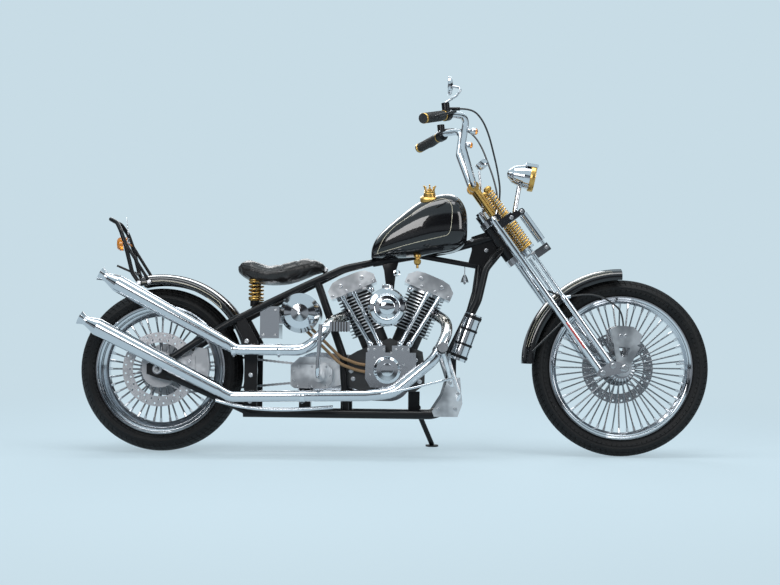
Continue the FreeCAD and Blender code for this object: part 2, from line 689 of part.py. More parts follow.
def make_tanks():
    nodes = {}
    stations = [
        (812, 762, 790, 60), (830, 758, 838, 82), (870, 758, 884, 98), (942, 762, 946, 112),
        (1021, 772, 998, 122), (1090, 782, 1017, 124), (1140, 792, 1010, 116), (1172, 812, 975, 98),
        (1184, 840, 920, 70),
    ]
    tank = loft([rounded_section(x, low, high, half) for x, low, high, half in stations])
    trench = plate([(780, 700), (1230, 700), (1230, 874), (1202, 864), (1100, 815), (817, 762),
                    (780, 754)], -BACKBONE_R - RUNNING_GAP, BACKBONE_R + RUNNING_GAP)
    nodes["fuel_tank"] = tank.cut(trench)
    cap = lathe([(0, 0), (36, 0), (36, 24), (30, 30), (24, 30), (22, 44), (14, 52), (0, 54)],
                (1036, -52, 976), (0.0, -0.3, 1.0))
    nodes["tank_cap"] = cap.cut(nodes["fuel_tank"])

    oil = lathe([(0, -150), (66, -150), (74, -142), (74, 112), (66, 120), (0, 120)], (544, 0, 539))
    cap = lathe([(0, -150), (66, -150), (76, -156), (76, -168), (60, -190), (34, -200),
                 (0, -203)], (544, 0, 539))
    nodes["oil_tank"] = join([oil, cap, box((386, -98, 443), (460, 98, 566)),
                              box((455, -60, 500), (480, 60, 540))])
    return nodes


def plate_bracket_frame():
    """Lower rear corner, lower front corner and outward normal of the number plate bracket."""
    low = FreeCAD.Vector(-182, 0, 716)
    front = FreeCAD.Vector(-112, 0, 686)
    run = front - low
    run.normalize()
    return low, front, FreeCAD.Vector(-run.z, 0, run.x)


def plate_bolt_centre():
    """Point between the two bolt holes, on the bracket's outer face."""
    low, front, normal = plate_bracket_frame()
    return low + (front - low) * 0.3 + normal * PLATE_BRACKET_T


def make_seat_and_fender(frame):
    nodes = {}
    stations = [
        (294, 700, 728, 60), (312, 686, 748, 98), (345, 668, 744, 124), (417, 657, 721, 140),
        (490, 662, 736, 132), (550, 682, 754, 98), (592, 700, 758, 74), (620, 708, 746, 52),
        (630, 714, 736, 36),
    ]
    seat = loft([rounded_section(x, low, high, half, 0.8) for x, low, high, half in stations])
    coils = []
    wells = []
    for side in (-1, 1):
        y = side * SEAT_SPRING_Y
        coils.append(spring((362, y, 590), (362, y, 672), SEAT_SPRING_R, 4.0, 6, 9))
        wells.append(rod((362, y, 560), (362, y, 676), 6 + RUNNING_GAP))
    wells.append(rod((636, 0, 686), (622, 0, 728), 8 + RUNNING_GAP))
    nodes["seat"] = seat.cut(Part.makeCompound(wells))
    nodes["seat_springs"] = Part.makeCompound(coils).cut(seat)
    guard = [fender(REAR_AXLE, REAR_FENDER_R, REAR_FENDER_HALF_W, 42, 104, -12)]
    for side in (-1, 1):
        inner = side * REAR_FENDER_HALF_W * 0.6
        guard.append(rod((306, inner, 515), (306, side * (STAY_Y - PLATE_T / 2), 515), 7))
    nodes["rear_fender"] = join(guard).cut(frame["rear_stays"]).cut(frame["frame_backbone"])

    hoop_y = REAR_FENDER_HALF_W + 9
    right = [(-84, -hoop_y, 650), (-112, -hoop_y, 690), (-139, -hoop_y, 793), (-160, -hoop_y + 8, 852),
             (-182, -48, 887), (-214, -22, 904)]
    bars = [bent_rod(right + mirrored(right)[::-1], 8, 40)]
    for side in (-1, 1):
        y = side * hoop_y
        bars.append(bent_rod([(-44, y, 655), (-83, y, 714), (-142, y, 806)], 6, 60))
        for x, z in ((-84, 650), (-44, 655)):
            bars.append(rod((x, y - side * 10, z), (x, y + side * 10, z), 9))
        bars.append(rod((-112, y, 692), (-122, side * 30, 696), 6))
    low, front, normal = plate_bracket_frame()
    thick = normal * PLATE_BRACKET_T
    outline = [low, front, front + thick, low + thick]
    bars.append(plate([(p.x, p.z) for p in outline], -42, 42))
    bolts = []
    for side in (-1, 1):
        at = plate_bolt_centre() + FreeCAD.Vector(0, side * PLATE_BOLT_SPACING / 2, 0)
        bolts.append(rod(tuple(at - thick * 2), tuple(at + thick), PLATE_BOLT_R))
    nodes["sissy_bar"] = join(bars).cut(Part.makeCompound(bolts)).cut(nodes["rear_fender"])
    lamp = lathe([(0, 0), (25, 0), (27, 6), (27, 26), (20, 36), (0, 40)], (-150, 0, 808), (-1.0, 0.0, 0.0))
    nodes["tail_lamp"] = join([lamp, rod((-147, -98, 808), (-147, 98, 808), 5)]).cut(nodes["sissy_bar"])
    return nodes


def make_exhausts(nodes_so_far):
    nodes = {}
    routes = {
        "exhaust_upper": ([(728, -36, 540), (664, -160, 508), (618, EXHAUST_Y, 440), (560, EXHAUST_Y, 396),
                           (310, EXHAUST_Y, 396), (285, EXHAUST_Y, 410)],
                          (-211, EXHAUST_Y, 676)),
        "exhaust_lower": ([(1050, -36, 556), (1122, -160, 500), (1060, EXHAUST_Y, 370), (905, EXHAUST_Y, 240),
                           (800, EXHAUST_Y, 228), (290, EXHAUST_Y, 219), (255, EXHAUST_Y, 237)],
                          (-285, EXHAUST_Y, 509)),
    }
    for name, (route, tip) in routes.items():
        start = vec(route[-1])
        run = vec(tip) - start
        length = run.Length
        bore = PIPE_R - PIPE_WALL
        skin = lathe([(0, 0), (PIPE_R, 0), (PIPE_R + 3, 20), (MUFFLER_R, length - 84),
                      (MUFFLER_R, length - 74),
                      (18, length - 30), (18, length - 20), (27, length), (0, length)],
                     route[-1], (run.x, run.y, run.z))
        throat = lathe([(0, length - 60), (bore, length - 60), (16, length - 30), (16, length - 20),
                        (25, length + 0.5), (0, length + 0.5)], route[-1], (run.x, run.y, run.z))
        hanger_z = HANGER_Z[name]
        hanger = rod((HANGER_X, -STAY_Y - PLATE_T / 2, hanger_z),
                     (HANGER_X, EXHAUST_Y + PIPE_R / 2, hanger_z), 7)
        whole = join([bent_rod(route, PIPE_R, 120), skin, hanger]).cut(throat)
        nodes[name] = whole.cut(nodes_so_far["cylinders"])
    return nodes


def make_front_end():
    nodes = {}
    legs = []
    for side in (-1, 1):
        y = side * LEG_Y
        legs.append(rod(fork(0, LEG_FORWARD, y), fork(LEG_TOP, LEG_FORWARD, y), LEG_R))
        legs.append(rod(fork(LEG_SLEEVE_FROM, LEG_FORWARD, y), fork(PERCH_FROM, LEG_FORWARD, y), LEG_R + 3))
        legs.append(taper(fork(LEG_TOP, LEG_FORWARD, y), fork(LEG_TOP + 14, LEG_FORWARD, y), LEG_R, 6))
    crown_low = (NECK_LOW - BEARING_GAP - CROWN_T, NECK_LOW - BEARING_GAP)
    crown_high = (NECK_HIGH + BEARING_GAP, NECK_HIGH + BEARING_GAP + CROWN_T)
    for low, high in (crown_low, crown_high):
        legs.append(fork_box((low, high), (-24, 40), -STEM_R - 24, STEM_R + 24))
        legs.append(fork_box((low, high), (-6, 40), -LEG_Y, LEG_Y))
    legs.append(fork_box(crown_high, (20, RISER_FORWARD + 17), -RISER_Y - 40, RISER_Y + 40))
    legs.append(rod(fork(crown_low[0], 0), fork(crown_high[1] + 44, 0), STEM_R))
    legs.append(rod(fork(crown_high[1], 0), fork(crown_high[1] + 34, 0), STEM_R + 8))
    for side in (-1, 1):
        perch_y = sorted((side * (LEG_Y - 12), side * (LEG_Y + 12)))
        legs.append(fork_box((PERCH_FROM, PERCH_FROM + PERCH_T), (LEG_FORWARD, SPRING_LEG_FORWARD + 22),
                             *perch_y))
    legs.append(rod(fork(DAMPER_TOP, SPRING_LEG_FORWARD + 12, -LEG_Y),
                    fork(DAMPER_TOP, SPRING_LEG_FORWARD + 12, LEG_Y), 9))
    for y in (-24, 24):
        legs.append(fork_box((DAMPER_TOP - 10, DAMPER_TOP + 10),
                             (SPRING_LEG_FORWARD + 12, DAMPER_FORWARD + 10),
                             y - 4, y + 4))
    legs.append(rod(fork(DAMPER_TOP, DAMPER_FORWARD, -30), fork(DAMPER_TOP, DAMPER_FORWARD, 30), 6))
    for side in (-1, 1):
        clip = on_side(CABLE_CLIP, side)
        legs.append(rod(tuple(clip - vec(CABLE_CLIP_RISE)), tuple(clip), CABLE_GLAND_R))
    fixed = join(legs)
    cuts = []
    for side in (-1, 1):
        y = side * LEG_Y
        cuts.append(rod(fork(PERCH_FROM - 2, SPRING_LEG_FORWARD, y),
                        fork(PERCH_FROM + PERCH_T + 2, SPRING_LEG_FORWARD, y), SPRING_ROD_R + PIN_GAP))
    nodes["rigid_fork"] = fixed.cut(Part.makeCompound(cuts))

    legs = []
    springs = []
    pivot_x, _, pivot_z = fork(0, SPRING_LEG_FORWARD)
    for side in (-1, 1):
        y = side * LEG_Y
        f = SPRING_LEG_FORWARD
        leg = [rod(fork(0, f, y), fork(SPRING_LEG_SHOULDER, f, y), SPRING_LEG_R),
               taper(fork(SPRING_LEG_SHOULDER, f, y), fork(SPRING_LEG_SHOULDER + 16, f, y), SPRING_LEG_R,
                     SPRING_ROD_R),
               rod(fork(SPRING_LEG_SHOULDER, f, y), fork(HIGH_SPRING_TO + 14, f, y), SPRING_ROD_R),
               rod(fork(LOW_SPRING_FROM - 8, f, y), fork(LOW_SPRING_FROM, f, y), LOW_SPRING_R),
               rod(fork(0, f, y - 12), fork(0, f, y + 12), SPRING_LEG_R + 2),
               rod(fork(0, f, y), fork(0, f, y + side * (ROCKER_Y - LEG_Y + 14)), ROCKER_PIN_R)]
        legs.append(join(leg))
        springs.append(spring(fork(LOW_SPRING_FROM, f, y), fork(PERCH_FROM, f, y), LOW_SPRING_R,
                              SPRING_WIRE_R, LOW_SPRING_TURNS, SPRING_ROD_R + PIN_GAP))
        springs.append(spring(fork(PERCH_FROM + PERCH_T, f, y), fork(HIGH_SPRING_TO, f, y), HIGH_SPRING_R,
                              SPRING_WIRE_R, HIGH_SPRING_TURNS, SPRING_ROD_R + PIN_GAP))
        springs.append(spring_nut(fork(HIGH_SPRING_TO, f, y)))
    tie_at = DAMPER_LOW + 9
    tie = rod(fork(tie_at, SPRING_LEG_FORWARD, -LEG_Y), fork(tie_at, SPRING_LEG_FORWARD, LEG_Y), 9)
    hose_face = on_side(HOSE_START, -1)
    hose_run = on_side(HOSE_SECOND, -1) - hose_face
    clip = rod(tuple(hose_face - hose_run * 0.5), tuple(hose_face), 7)
    lug = fork_box((DAMPER_LOW - 16, DAMPER_LOW + 16), (SPRING_LEG_FORWARD, DAMPER_FORWARD + 12), -9, 9)
    nodes["spring_legs"] = join(legs + [tie, lug, clip])
    nodes["fork_springs"] = Part.makeCompound(springs)
    rockers = []
    for side in (-1, 1):
        inner = side * (LEG_Y + LEG_R + 0.5)
        outer = side * (ROCKER_Y + ROCKER_T / 2)
        y_from, y_to = sorted((inner, outer))
        rear = fork(0, LEG_FORWARD)
        mid = fork(0, SPRING_LEG_FORWARD)
        arm = []
        for point, r in ((rear, 18), (mid, 18), (FRONT_AXLE, 19)):
            arm.append(rod((point[0], y_from, point[2]), (point[0], y_to, point[2]), r))
        arm.append(plate([(rear[0] - 8, rear[2] + 15), (mid[0] - 4, mid[2] + 17),
                          (FRONT_AXLE[0], FRONT_AXLE[2] + 18),
                          (FRONT_AXLE[0] + 2, FRONT_AXLE[2] - 18), (rear[0] + 6, rear[2] - 17)], y_from,
                          y_to))
        rocker = join(arm)
        rocker = rocker.cut(rod((mid[0], y_from - 1, mid[2]), (mid[0], y_to + 1, mid[2]),
                                ROCKER_PIN_R + PIN_GAP))
        rocker = rocker.cut(rod((FRONT_AXLE[0], y_from - 1, FRONT_AXLE[2]),
                                (FRONT_AXLE[0], y_to + 1, FRONT_AXLE[2]),
                                AXLE_R + PIN_GAP))
        pin = rod((rear[0], side * (LEG_Y + LEG_R - 3), rear[2]),
                  (rear[0], side * (ROCKER_Y + 14), rear[2]), ROCKER_PIN_R)
        rockers.append(join([rocker, pin]))
    nodes["fork_rockers"] = Part.makeCompound(rockers).cut(nodes["rigid_fork"])
    half = ROCKER_Y + ROCKER_T / 2
    axle = [rod((WHEELBASE, -half - 12, FRONT_TYRE_R), (WHEELBASE, half + 12, FRONT_TYRE_R), AXLE_R)]
    for side in (-1, 1):
        axle.append(rod((WHEELBASE, side * half, FRONT_TYRE_R),
                        (WHEELBASE, side * (half + 9), FRONT_TYRE_R), 15))
        inner, outer = (FRONT_HUB_HALF + SPACER_GAP, LEG_Y + LEG_R)
        axle.append(rod((WHEELBASE, side * inner, FRONT_TYRE_R), (WHEELBASE, side * outer, FRONT_TYRE_R),
                        SPACER_R))
    nodes["front_axle"] = join(axle)

    nodes["front_caliper"] = make_front_caliper()

    body = rod(fork(DAMPER_LOW + 34, DAMPER_FORWARD), fork(DAMPER_TOP - 12, DAMPER_FORWARD), DAMPER_R)
    shaft = rod(fork(DAMPER_LOW + 8, DAMPER_FORWARD), fork(DAMPER_LOW + 36, DAMPER_FORWARD), 7)
    eye = rod(fork(DAMPER_TOP, DAMPER_FORWARD, -19), fork(DAMPER_TOP, DAMPER_FORWARD, 19), 13)
    damper = join([body, shaft, eye, rod(fork(DAMPER_LOW, DAMPER_FORWARD, -15),
                                         fork(DAMPER_LOW, DAMPER_FORWARD, 15), 11)])
    nodes["damper"] = damper.cut(nodes["rigid_fork"]).cut(nodes["spring_legs"])
    return nodes


def make_front_caliper():
    """Fan-shaped anchor plate on each end of the hub, with the caliper bolted above it."""
    x = WHEELBASE
    z = FRONT_TYRE_R
    units = []
    for side in (-1, 1):
        near = side * FRONT_BRACKET_Y
        y_from, y_to = sorted((near, near + side * FRONT_BRACKET_T))
        hub = rod((x, y_from, z), (x, y_to, z), 34)
        fan = plate([(x - 22, z + 10), (x - 36, z + 96), (x, z + 106), (x + 40, z + 100), (x + 66, z + 80),
                     (x + 26, z + 4)], y_from, y_to)
        window = plate([(x - 8, z + 46), (x - 16, z + 82), (x + 30, z + 78), (x + 14, z + 42)],
                       y_from - 1, y_to + 1)
        pads_from, pads_to = sorted((near + side * FRONT_BRACKET_T, side * (FRONT_DISC_Y - 18)))
        caliper = plate([(x - 38, z + 96), (x - 46, z + 150), (x - 20, z + 164), (x + 40, z + 160),
                         (x + 74, z + 128), (x + 66, z + 92), (x + 40, z + 86)], pads_from, pads_to)
        slot_y = side * FRONT_DISC_Y
        slot = lathe([(60, slot_y - 5), (FRONT_DISC_R + 4, slot_y - 5), (FRONT_DISC_R + 4, slot_y + 5),
                      (60, slot_y + 5)], FRONT_AXLE)
        bore = rod((x, -ROCKER_Y, z), (x, ROCKER_Y, z), SPACER_R + PIN_GAP)
        units.append(join([hub, fan.cut(window), caliper]).cut(bore).cut(slot))
    return Part.makeCompound(units)


def grip_line(side):
    """Outer end of the grip's straight run and the run towards the bend."""
    outer = on_side(BAR_END, side)
    return outer, on_side(BAR_BEND, side) - outer


def mirror_seat():
    """Top of the left control block, where a second mirror screws in, and its direction."""
    outer, run = grip_line(1)
    mid = outer + run * CONTROL_AT
    up = FreeCAD.Vector(-4, 0, 36)
    up.normalize()
    return mid + FreeCAD.Vector(-4, 0, 46), up


def make_handlebar(front):
    nodes = {}
    clamp = BAR_CLAMP
    route = [tuple(on_side(BAR_END, -1)), tuple(on_side(BAR_BEND, -1)), (WHEELBASE - 618, -190, 1300),
             (WHEELBASE - 632, -150, 1195), (clamp[0], -75, clamp[2])]
    full = route + mirrored(route)[::-1]
    bar = bent_rod(full, BAR_R, 45)
    nodes["handlebar"] = bar
    risers = []
    crown_top = NECK_HIGH + BEARING_GAP + CROWN_T
    for side in (-1, 1):
        y = side * RISER_Y
        foot = fork(crown_top, RISER_FORWARD, y)
        foot_top = fork(crown_top + 8, RISER_FORWARD, y)
        risers.append(join([rod(foot, foot_top, 16), rod(foot, (clamp[0], y, clamp[2]), 13),
                            rod((clamp[0], y - 14, clamp[2]), (clamp[0], y + 14, clamp[2]), 21)]))
    nodes["risers"] = Part.makeCompound(risers).cut(bar).cut(fork_box((crown_top - 60, crown_top),
                                                                      (-60, 60), -90, 90))
    grips = []
    for side in (-1, 1):
        outer, run = grip_line(side)
        start = outer - run * (4 / run.Length)
        grips.append(rod(tuple(start), tuple(outer + run * 0.72), GRIP_R))
    nodes["grips"] = Part.makeCompound(grips).cut(bar)
    perches = []
    levers = []
    for side in (-1, 1):
        outer, run = grip_line(side)
        from_p = outer + run * 0.74
        to_p = outer + run * 0.9
        block = rod(tuple(from_p), tuple(to_p), 21)
        mid = outer + run * CONTROL_AT
        knob = rod((mid.x, mid.y, mid.z + 10), (mid.x - 4, mid.y, mid.z + 46), 15)
        face = on_side(CABLE_START, side)
        gland = rod(tuple(face * 2 - on_side(CABLE_SECOND, side)), tuple(face), CABLE_GLAND_R)
        perches.append(join([block, knob, gland]))
        tip = outer + FreeCAD.Vector(44, 0, 6)
        root = mid + FreeCAD.Vector(24, 0, 10)
        levers.append(bent_rod([tuple(mid + FreeCAD.Vector(16, 0, 6)),
                                tuple(root + FreeCAD.Vector(14, side * 8, 4)),
                                tuple(tip + FreeCAD.Vector(14, 0, 6)), tuple(tip)], 5, 30))
    controls = Part.makeCompound([join([p, q]) for p, q in zip(perches, levers)]).cut(bar)
    top, up = mirror_seat()
    controls = controls.cut(rod(tuple(top - up * MIRROR_THREAD_LENGTH), tuple(top + up), MIRROR_THREAD_R))
    nodes["hand_controls"] = controls
    outer, run = grip_line(-1)
    mid = outer + run * CONTROL_AT
    root = (mid.x - 4, mid.y, mid.z + 46)
    head = (WHEELBASE - 692, -258, 1404)
    stem = bent_rod([root, (WHEELBASE - 660, -262, 1366), (WHEELBASE - 640, -258, 1396),
                     (WHEELBASE - 686, -258, 1404)], 4.5, 20)
    glass = lathe([(0, 0), (MIRROR_R, 0), (MIRROR_R, 7), (MIRROR_R - 8, 14), (0, 18)], head, (1.0, 0.0, 0.0))
    nodes["mirror"] = join([stem, glass]).cut(controls)

    shell = lathe([(0, -95), (14, -92), (34, -70), (46, -30), (48, 0), (52, 2), (52, 8), (44, 10), (40, 4),
                   (0, 4)], HEADLIGHT_AT, HEADLIGHT_AIM)
    foot = fork(DAMPER_TOP + 12, DAMPER_FORWARD - 24)
    stem = rod(foot, (HEADLIGHT_AT[0] - 46, 0, HEADLIGHT_AT[2] - 36), 9)
    saddle = fork_box((DAMPER_TOP + 10, DAMPER_TOP + 16), (SPRING_LEG_FORWARD + 12, DAMPER_FORWARD - 14),
                      -28, 28)
    nodes["headlight"] = join([shell, stem, saddle]).cut(front["damper"]).cut(front["rigid_fork"])
    lens = lathe([(0, 4), (40, 4), (40, 6), (26, 12), (0, 15)], HEADLIGHT_AT, HEADLIGHT_AIM)
    nodes["headlight_lens"] = lens.cut(nodes["headlight"])
    return nodes


def make_front_fender(front):
    nodes = {}
    strip = fender(FRONT_AXLE, FRONT_FENDER_R, FRONT_FENDER_HALF_W, 46, 178, 90)
    braces = []
    for side in (-1, 1):
        y = side * (FRONT_FENDER_HALF_W + 2)
        for angle, along in ((170, 250), (130, 400)):
            low = wheel_point(FRONT_AXLE, FRONT_FENDER_R - 34, angle, y)
            leg = fork(along, LEG_FORWARD, side * (LEG_Y - LEG_R + 1))
            braces.append(rod(low, leg, 4))
            braces.append(rod((low[0], side * FRONT_FENDER_HALF_W - side * 2, low[2]),
                              (low[0], y + side * 3, low[2]), 9))
    nodes["front_fender"] = join([strip] + braces).cut(front["rigid_fork"])
    return nodes


def make_controls():
    sets = []
    for side in (-1, 1):
        inner = side * (CRADLE_Y + CRADLE_R)
        outer = side * (CRADLE_Y + CRADLE_R + 12)
        y_from, y_to = sorted((inner, outer))
        mount = plate([(1052, 170), (1060, 150), (1150, 150), (1168, 200), (1158, 300), (1112, 300),
                       (1092, 232)],
                      y_from, y_to)
        arm = bent_rod([(1128, outer - side * 2, 270), (1110, side * 200, 330), (1085, side * 262, 409)],
                       9, 50)
        peg = rod((1085, side * 250, 409), (1085, side * 345, 412), 19)
        pedal = bent_rod([(1150, outer - side * 2, 215), (1156, side * 200, 240), (1112, side * 205, 372),
                          (1112, side * 270, 385)], 6, 30)
        sets.append(join([mount, arm, peg, pedal]))
    return {"foot_controls": Part.makeCompound(sets)}


def make_small_parts(frame):
    nodes = {}
    can = rod((1147, -172, 366), (1208, -172, 541), 33)
    clamps = []
    for low, tube in (((1156, -172, 392), (1128, -CRADLE_Y, 400)), ((1192, -172, 495), (1178, -122, 497))):
        clamps.append(rod(tube, low, 11))
    nodes["oil_filter"] = join([can] + clamps).cut(frame["frame_cradle"])
    disc_y = REAR_DISC_Y
    body = plate([(128, 290), (140, 262), (182, 262), (196, 330), (186, 400), (140, 404), (128, 372)],
                 disc_y - 26, disc_y + 22)
    slot = lathe([(90, disc_y - 5), (REAR_DISC_R + 5, disc_y - 5), (REAR_DISC_R + 5, disc_y + 5),
                  (90, disc_y + 5)], REAR_AXLE)
    lines = []
    for dz, dy in ((0, 0), (-26, -16)):
        lines.append(bent_rod([(566, -112 + dy, 500 + dz), (640, -118 + dy, 430 + dz),
                               (700, -120 + dy, 372 + dz),
                               (760, -98, 350 + dz), (CRANK_X - 95, -96, 344 + dz)], OIL_LINE_R, 60))
    nodes["oil_lines"] = Part.makeCompound(lines).cut(frame["oil_tank"]).cut(frame["timing_cover"])
    half = REAR_CARRIER_T / 2
    carrier_from = REAR_CARRIER_Y - half
    carrier_to = REAR_CARRIER_Y + half
    carrier = plate([(-26, 296), (-26, 340), (10, 352), (140, 372), (140, 290), (20, 288)], carrier_from,
                    carrier_to)
    carrier = carrier.cut(rod((0, -200, REAR_TYRE_R), (0, 200, REAR_TYRE_R), SPACER_R + PIN_GAP))
    nodes["rear_caliper"] = join([body, carrier]).cut(slot)
    return nodes


def cord_tube(name, route, radius):
    """Free cable or hose: straight runs joined by arcs as large as the runs allow."""
    corners = [vec(p) for p in route]
    radii = []
    for before, corner, after in zip(corners, corners[1:], corners[2:]):
        back = before - corner
        ahead = after - corner
        half_turn = (math.pi - back.getAngle(ahead)) / 2
        radii.append(round(0.45 * min(back.Length, ahead.Length) / math.tan(half_turn), 1))
    tube = bent_rod(route, radius, 1e6)
    path_length = bent_path(route, 1e6).Length
    print(name, "length", round(path_length, 1), "arc radii", radii,
          "volume ratio", round(tube.Volume / (math.pi * radius ** 2 * path_length), 4))
    return tube


def make_cords():
    """Throttle and clutch cables, and the hose to the right front caliper."""
    cable = [tuple(on_side(CABLE_START, -1)), tuple(on_side(CABLE_SECOND, -1)), (WHEELBASE - 562, -232, 1284),
             (WHEELBASE - 534, -200, 1230), (WHEELBASE - 514, -164, 1168), (WHEELBASE - 492, -118, 1096),
             tuple(on_side(CABLE_CLIP, -1) + vec(CABLE_CLIP_RISE) * 1.7), tuple(on_side(CABLE_CLIP, -1))]
    hose = [tuple(on_side(HOSE_START, -1)), tuple(on_side(HOSE_SECOND, -1)), (WHEELBASE - 86, -95, 620),
            (WHEELBASE - 38, -88, 594), (WHEELBASE, -68, 560), (WHEELBASE + 4, -66, 507.3)]
    return {
        "throttle_cable": cord_tube("throttle_cable", cable, CABLE_R),
        "clutch_cable": cord_tube("clutch_cable", mirrored(cable), CABLE_R),
        "brake_hose": cord_tube("brake_hose", hose, HOSE_R),
    }


def stand_foot():
    """Centre of the foot pad's underside, on the ground plane of the leaning motorcycle."""
    lean = math.radians(LEAN_DEG)
    sink = REAR_CROWN_R * (1 - math.cos(lean))
    x, y = STAND_FOOT
    return FreeCAD.Vector(x, y, (y * math.sin(lean) - sink) / math.cos(lean))


def stand_axis():
    """Hinge direction that swings the leg from the ground back beside the frame rail."""
    down = stand_foot() - vec(STAND_PIVOT)
    down.normalize()
    axis = down.cross(vec(STAND_FOLDED))
    axis.normalize()
    return axis


def make_side_stand():
    """Leg that swings on the pin of the lug under the left frame rail."""
    lean = math.radians(LEAN_DEG)
    up = FreeCAD.Vector(0, -math.sin(lean), math.cos(lean))
    foot = stand_foot()
    pivot = vec(STAND_PIVOT)
    hinge = stand_axis()
    half = STAND_KNUCKLE_T / 2
    leg = rod(STAND_PIVOT, tuple(foot + up * (STAND_FOOT_T + 2)), STAND_LEG_R)
    pad = Part.makeCylinder(STAND_FOOT_R, STAND_FOOT_T, foot, up)
    knuckle = rod(tuple(pivot - hinge * half), tuple(pivot + hinge * half), STAND_KNUCKLE_R)
    slab = rod(tuple(pivot - hinge * 40), tuple(pivot - hinge * half), STAND_KNUCKLE_R + 4)
    pin = rod(tuple(pivot - hinge * 40), tuple(pivot + hinge * 40), STAND_PIN_R + PIN_GAP)
    return {"side_stand": join([leg, pad, knuckle]).cut(slab).cut(pin)}


def build():
    nodes = {}
    nodes.update(make_wheels())
    nodes["rear_axle"] = make_rear_axle()
    nodes.update(make_frame())
    nodes.update(make_engine())
    nodes.update(make_tanks())
    nodes.update(make_seat_and_fender(nodes))
    nodes.update(make_exhausts(nodes))
    nodes.update(make_front_end())
    nodes.update(make_handlebar(nodes))
    nodes.update(make_front_fender(nodes))
    nodes.update(make_controls())
    nodes.update(make_small_parts(nodes))
    nodes.update(make_side_stand())
    cords = make_cords()
    nodes.update(cords)
    return nodes


def place(nodes):
    """Lean every piece onto the stand, set the tyres on the ground and centre the whole."""
    placed = {}
    lean = math.radians(LEAN_DEG)
    lift = REAR_CROWN_R * (1 - math.cos(lean))
    for name, shape in nodes.items():
        piece = shape.copy()
        piece.rotate(FreeCAD.Vector(0, 0, 0), FreeCAD.Vector(1, 0, 0), -LEAN_DEG)
        piece.translate(FreeCAD.Vector(0, 0, lift))
        placed[name] = piece
    boxes = [piece.optimalBoundingBox() for piece in placed.values()]
    shift_x = -(min(b.XMin for b in boxes) + max(b.XMax for b in boxes)) / 2
    shift_y = -(min(b.YMin for b in boxes) + max(b.YMax for b in boxes)) / 2
    for piece in placed.values():
        piece.translate(FreeCAD.Vector(shift_x, shift_y, 0))
    return placed, (shift_x, shift_y, lift)


def main():
    os.makedirs("parts", exist_ok=True)
    placed, shift = place(build())
    for name, shape in placed.items():
        shape.exportStep(os.path.join("parts", name + ".step"))
    print("placed by", [round(v, 3) for v in shift], "nodes", len(placed))
    return placed


main()
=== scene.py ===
# %% [markdown]
# # A chopper motorcycle, dressed
# The imported model gives every casting, tube and wheel its place. This lesson gives them paint,
# chrome and leather, and adds the pieces that are too fine for the solids: coil springs, chain
# links, bolts, stripes, glass and a welt. The frame comes in first and stays where it is.

# %% Load the frame
import math
import bmesh
import bpy
from mathutils import Matrix, Vector
from mathutils.bvhtree import BVHTree


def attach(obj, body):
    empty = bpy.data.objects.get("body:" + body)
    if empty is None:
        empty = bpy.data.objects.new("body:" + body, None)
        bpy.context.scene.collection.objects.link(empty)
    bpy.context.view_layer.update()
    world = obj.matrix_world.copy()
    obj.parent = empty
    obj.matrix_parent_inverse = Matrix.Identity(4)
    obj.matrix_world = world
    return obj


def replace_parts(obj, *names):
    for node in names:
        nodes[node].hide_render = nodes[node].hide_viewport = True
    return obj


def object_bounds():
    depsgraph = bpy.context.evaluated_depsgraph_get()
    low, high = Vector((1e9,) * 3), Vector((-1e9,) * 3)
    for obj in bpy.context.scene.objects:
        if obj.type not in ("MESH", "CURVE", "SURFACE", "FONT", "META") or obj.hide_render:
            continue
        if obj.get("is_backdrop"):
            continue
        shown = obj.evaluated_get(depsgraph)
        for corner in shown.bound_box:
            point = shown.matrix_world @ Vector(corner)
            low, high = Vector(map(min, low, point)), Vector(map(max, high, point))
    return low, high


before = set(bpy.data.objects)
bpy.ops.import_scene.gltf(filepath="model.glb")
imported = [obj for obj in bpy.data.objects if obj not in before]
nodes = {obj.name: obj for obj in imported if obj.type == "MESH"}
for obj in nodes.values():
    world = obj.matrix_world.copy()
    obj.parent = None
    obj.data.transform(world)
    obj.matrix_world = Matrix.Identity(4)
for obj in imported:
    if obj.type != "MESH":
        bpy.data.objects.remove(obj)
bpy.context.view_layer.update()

# %% [markdown]
# ## The motorcycle's own coordinates
# A workshop measures a motorcycle upright, in millimetres, from the rear axle: x forwards, y to its
# left, z up from the ground. It stands here leaning four degrees on its side stand. One matrix does
# the scaling, the lean and the shift, so every new piece is modelled upright and stood up at the end.

# %% Upright millimetres to the row frame
LEAN = math.radians(-4)
STAND = (Matrix.Translation((-0.90875, -0.08799, 0.000219)) @ Matrix.Rotation(LEAN, 4, "X")
         @ Matrix.Scale(0.001, 4))
STAND_BACK = STAND.inverted()
ACROSS = Vector((0, 1, 0))
UP = Vector((0, 0, 1))
FORWARD = Vector((1, 0, 0))
LEANING = STAND.to_3x3().normalized()
REAR_AXLE = Vector((0, 0, 317.5))
FRONT_AXLE = Vector((1790, 0, 345))
CRANK = Vector((889, 0, 288))
CYLINDERS = [Vector((math.sin(angle), 0, math.cos(angle)))
             for angle in (math.radians(-22.5), math.radians(22.5))]
STEER_FOOT = Vector((1690.3, 0, 313.3))
RAKE = math.radians(35.75)
FORK_UP = Vector((-math.sin(RAKE), 0, math.cos(RAKE)))
FORK_AHEAD = Vector((math.cos(RAKE), 0, math.sin(RAKE)))


def fork(along, ahead, y=0):
    """Point on the fork: up the steering axis, ahead of it, to the left."""
    return STEER_FOOT + ACROSS * y + FORK_UP * along + FORK_AHEAD * ahead


print("fork top", fork(815, 69))

# %% [markdown]
# ## Camera
# The photograph is taken square to the right side from about six metres, at the height of the tank,
# with a slight roll. A long lens from that distance gives its flat perspective.

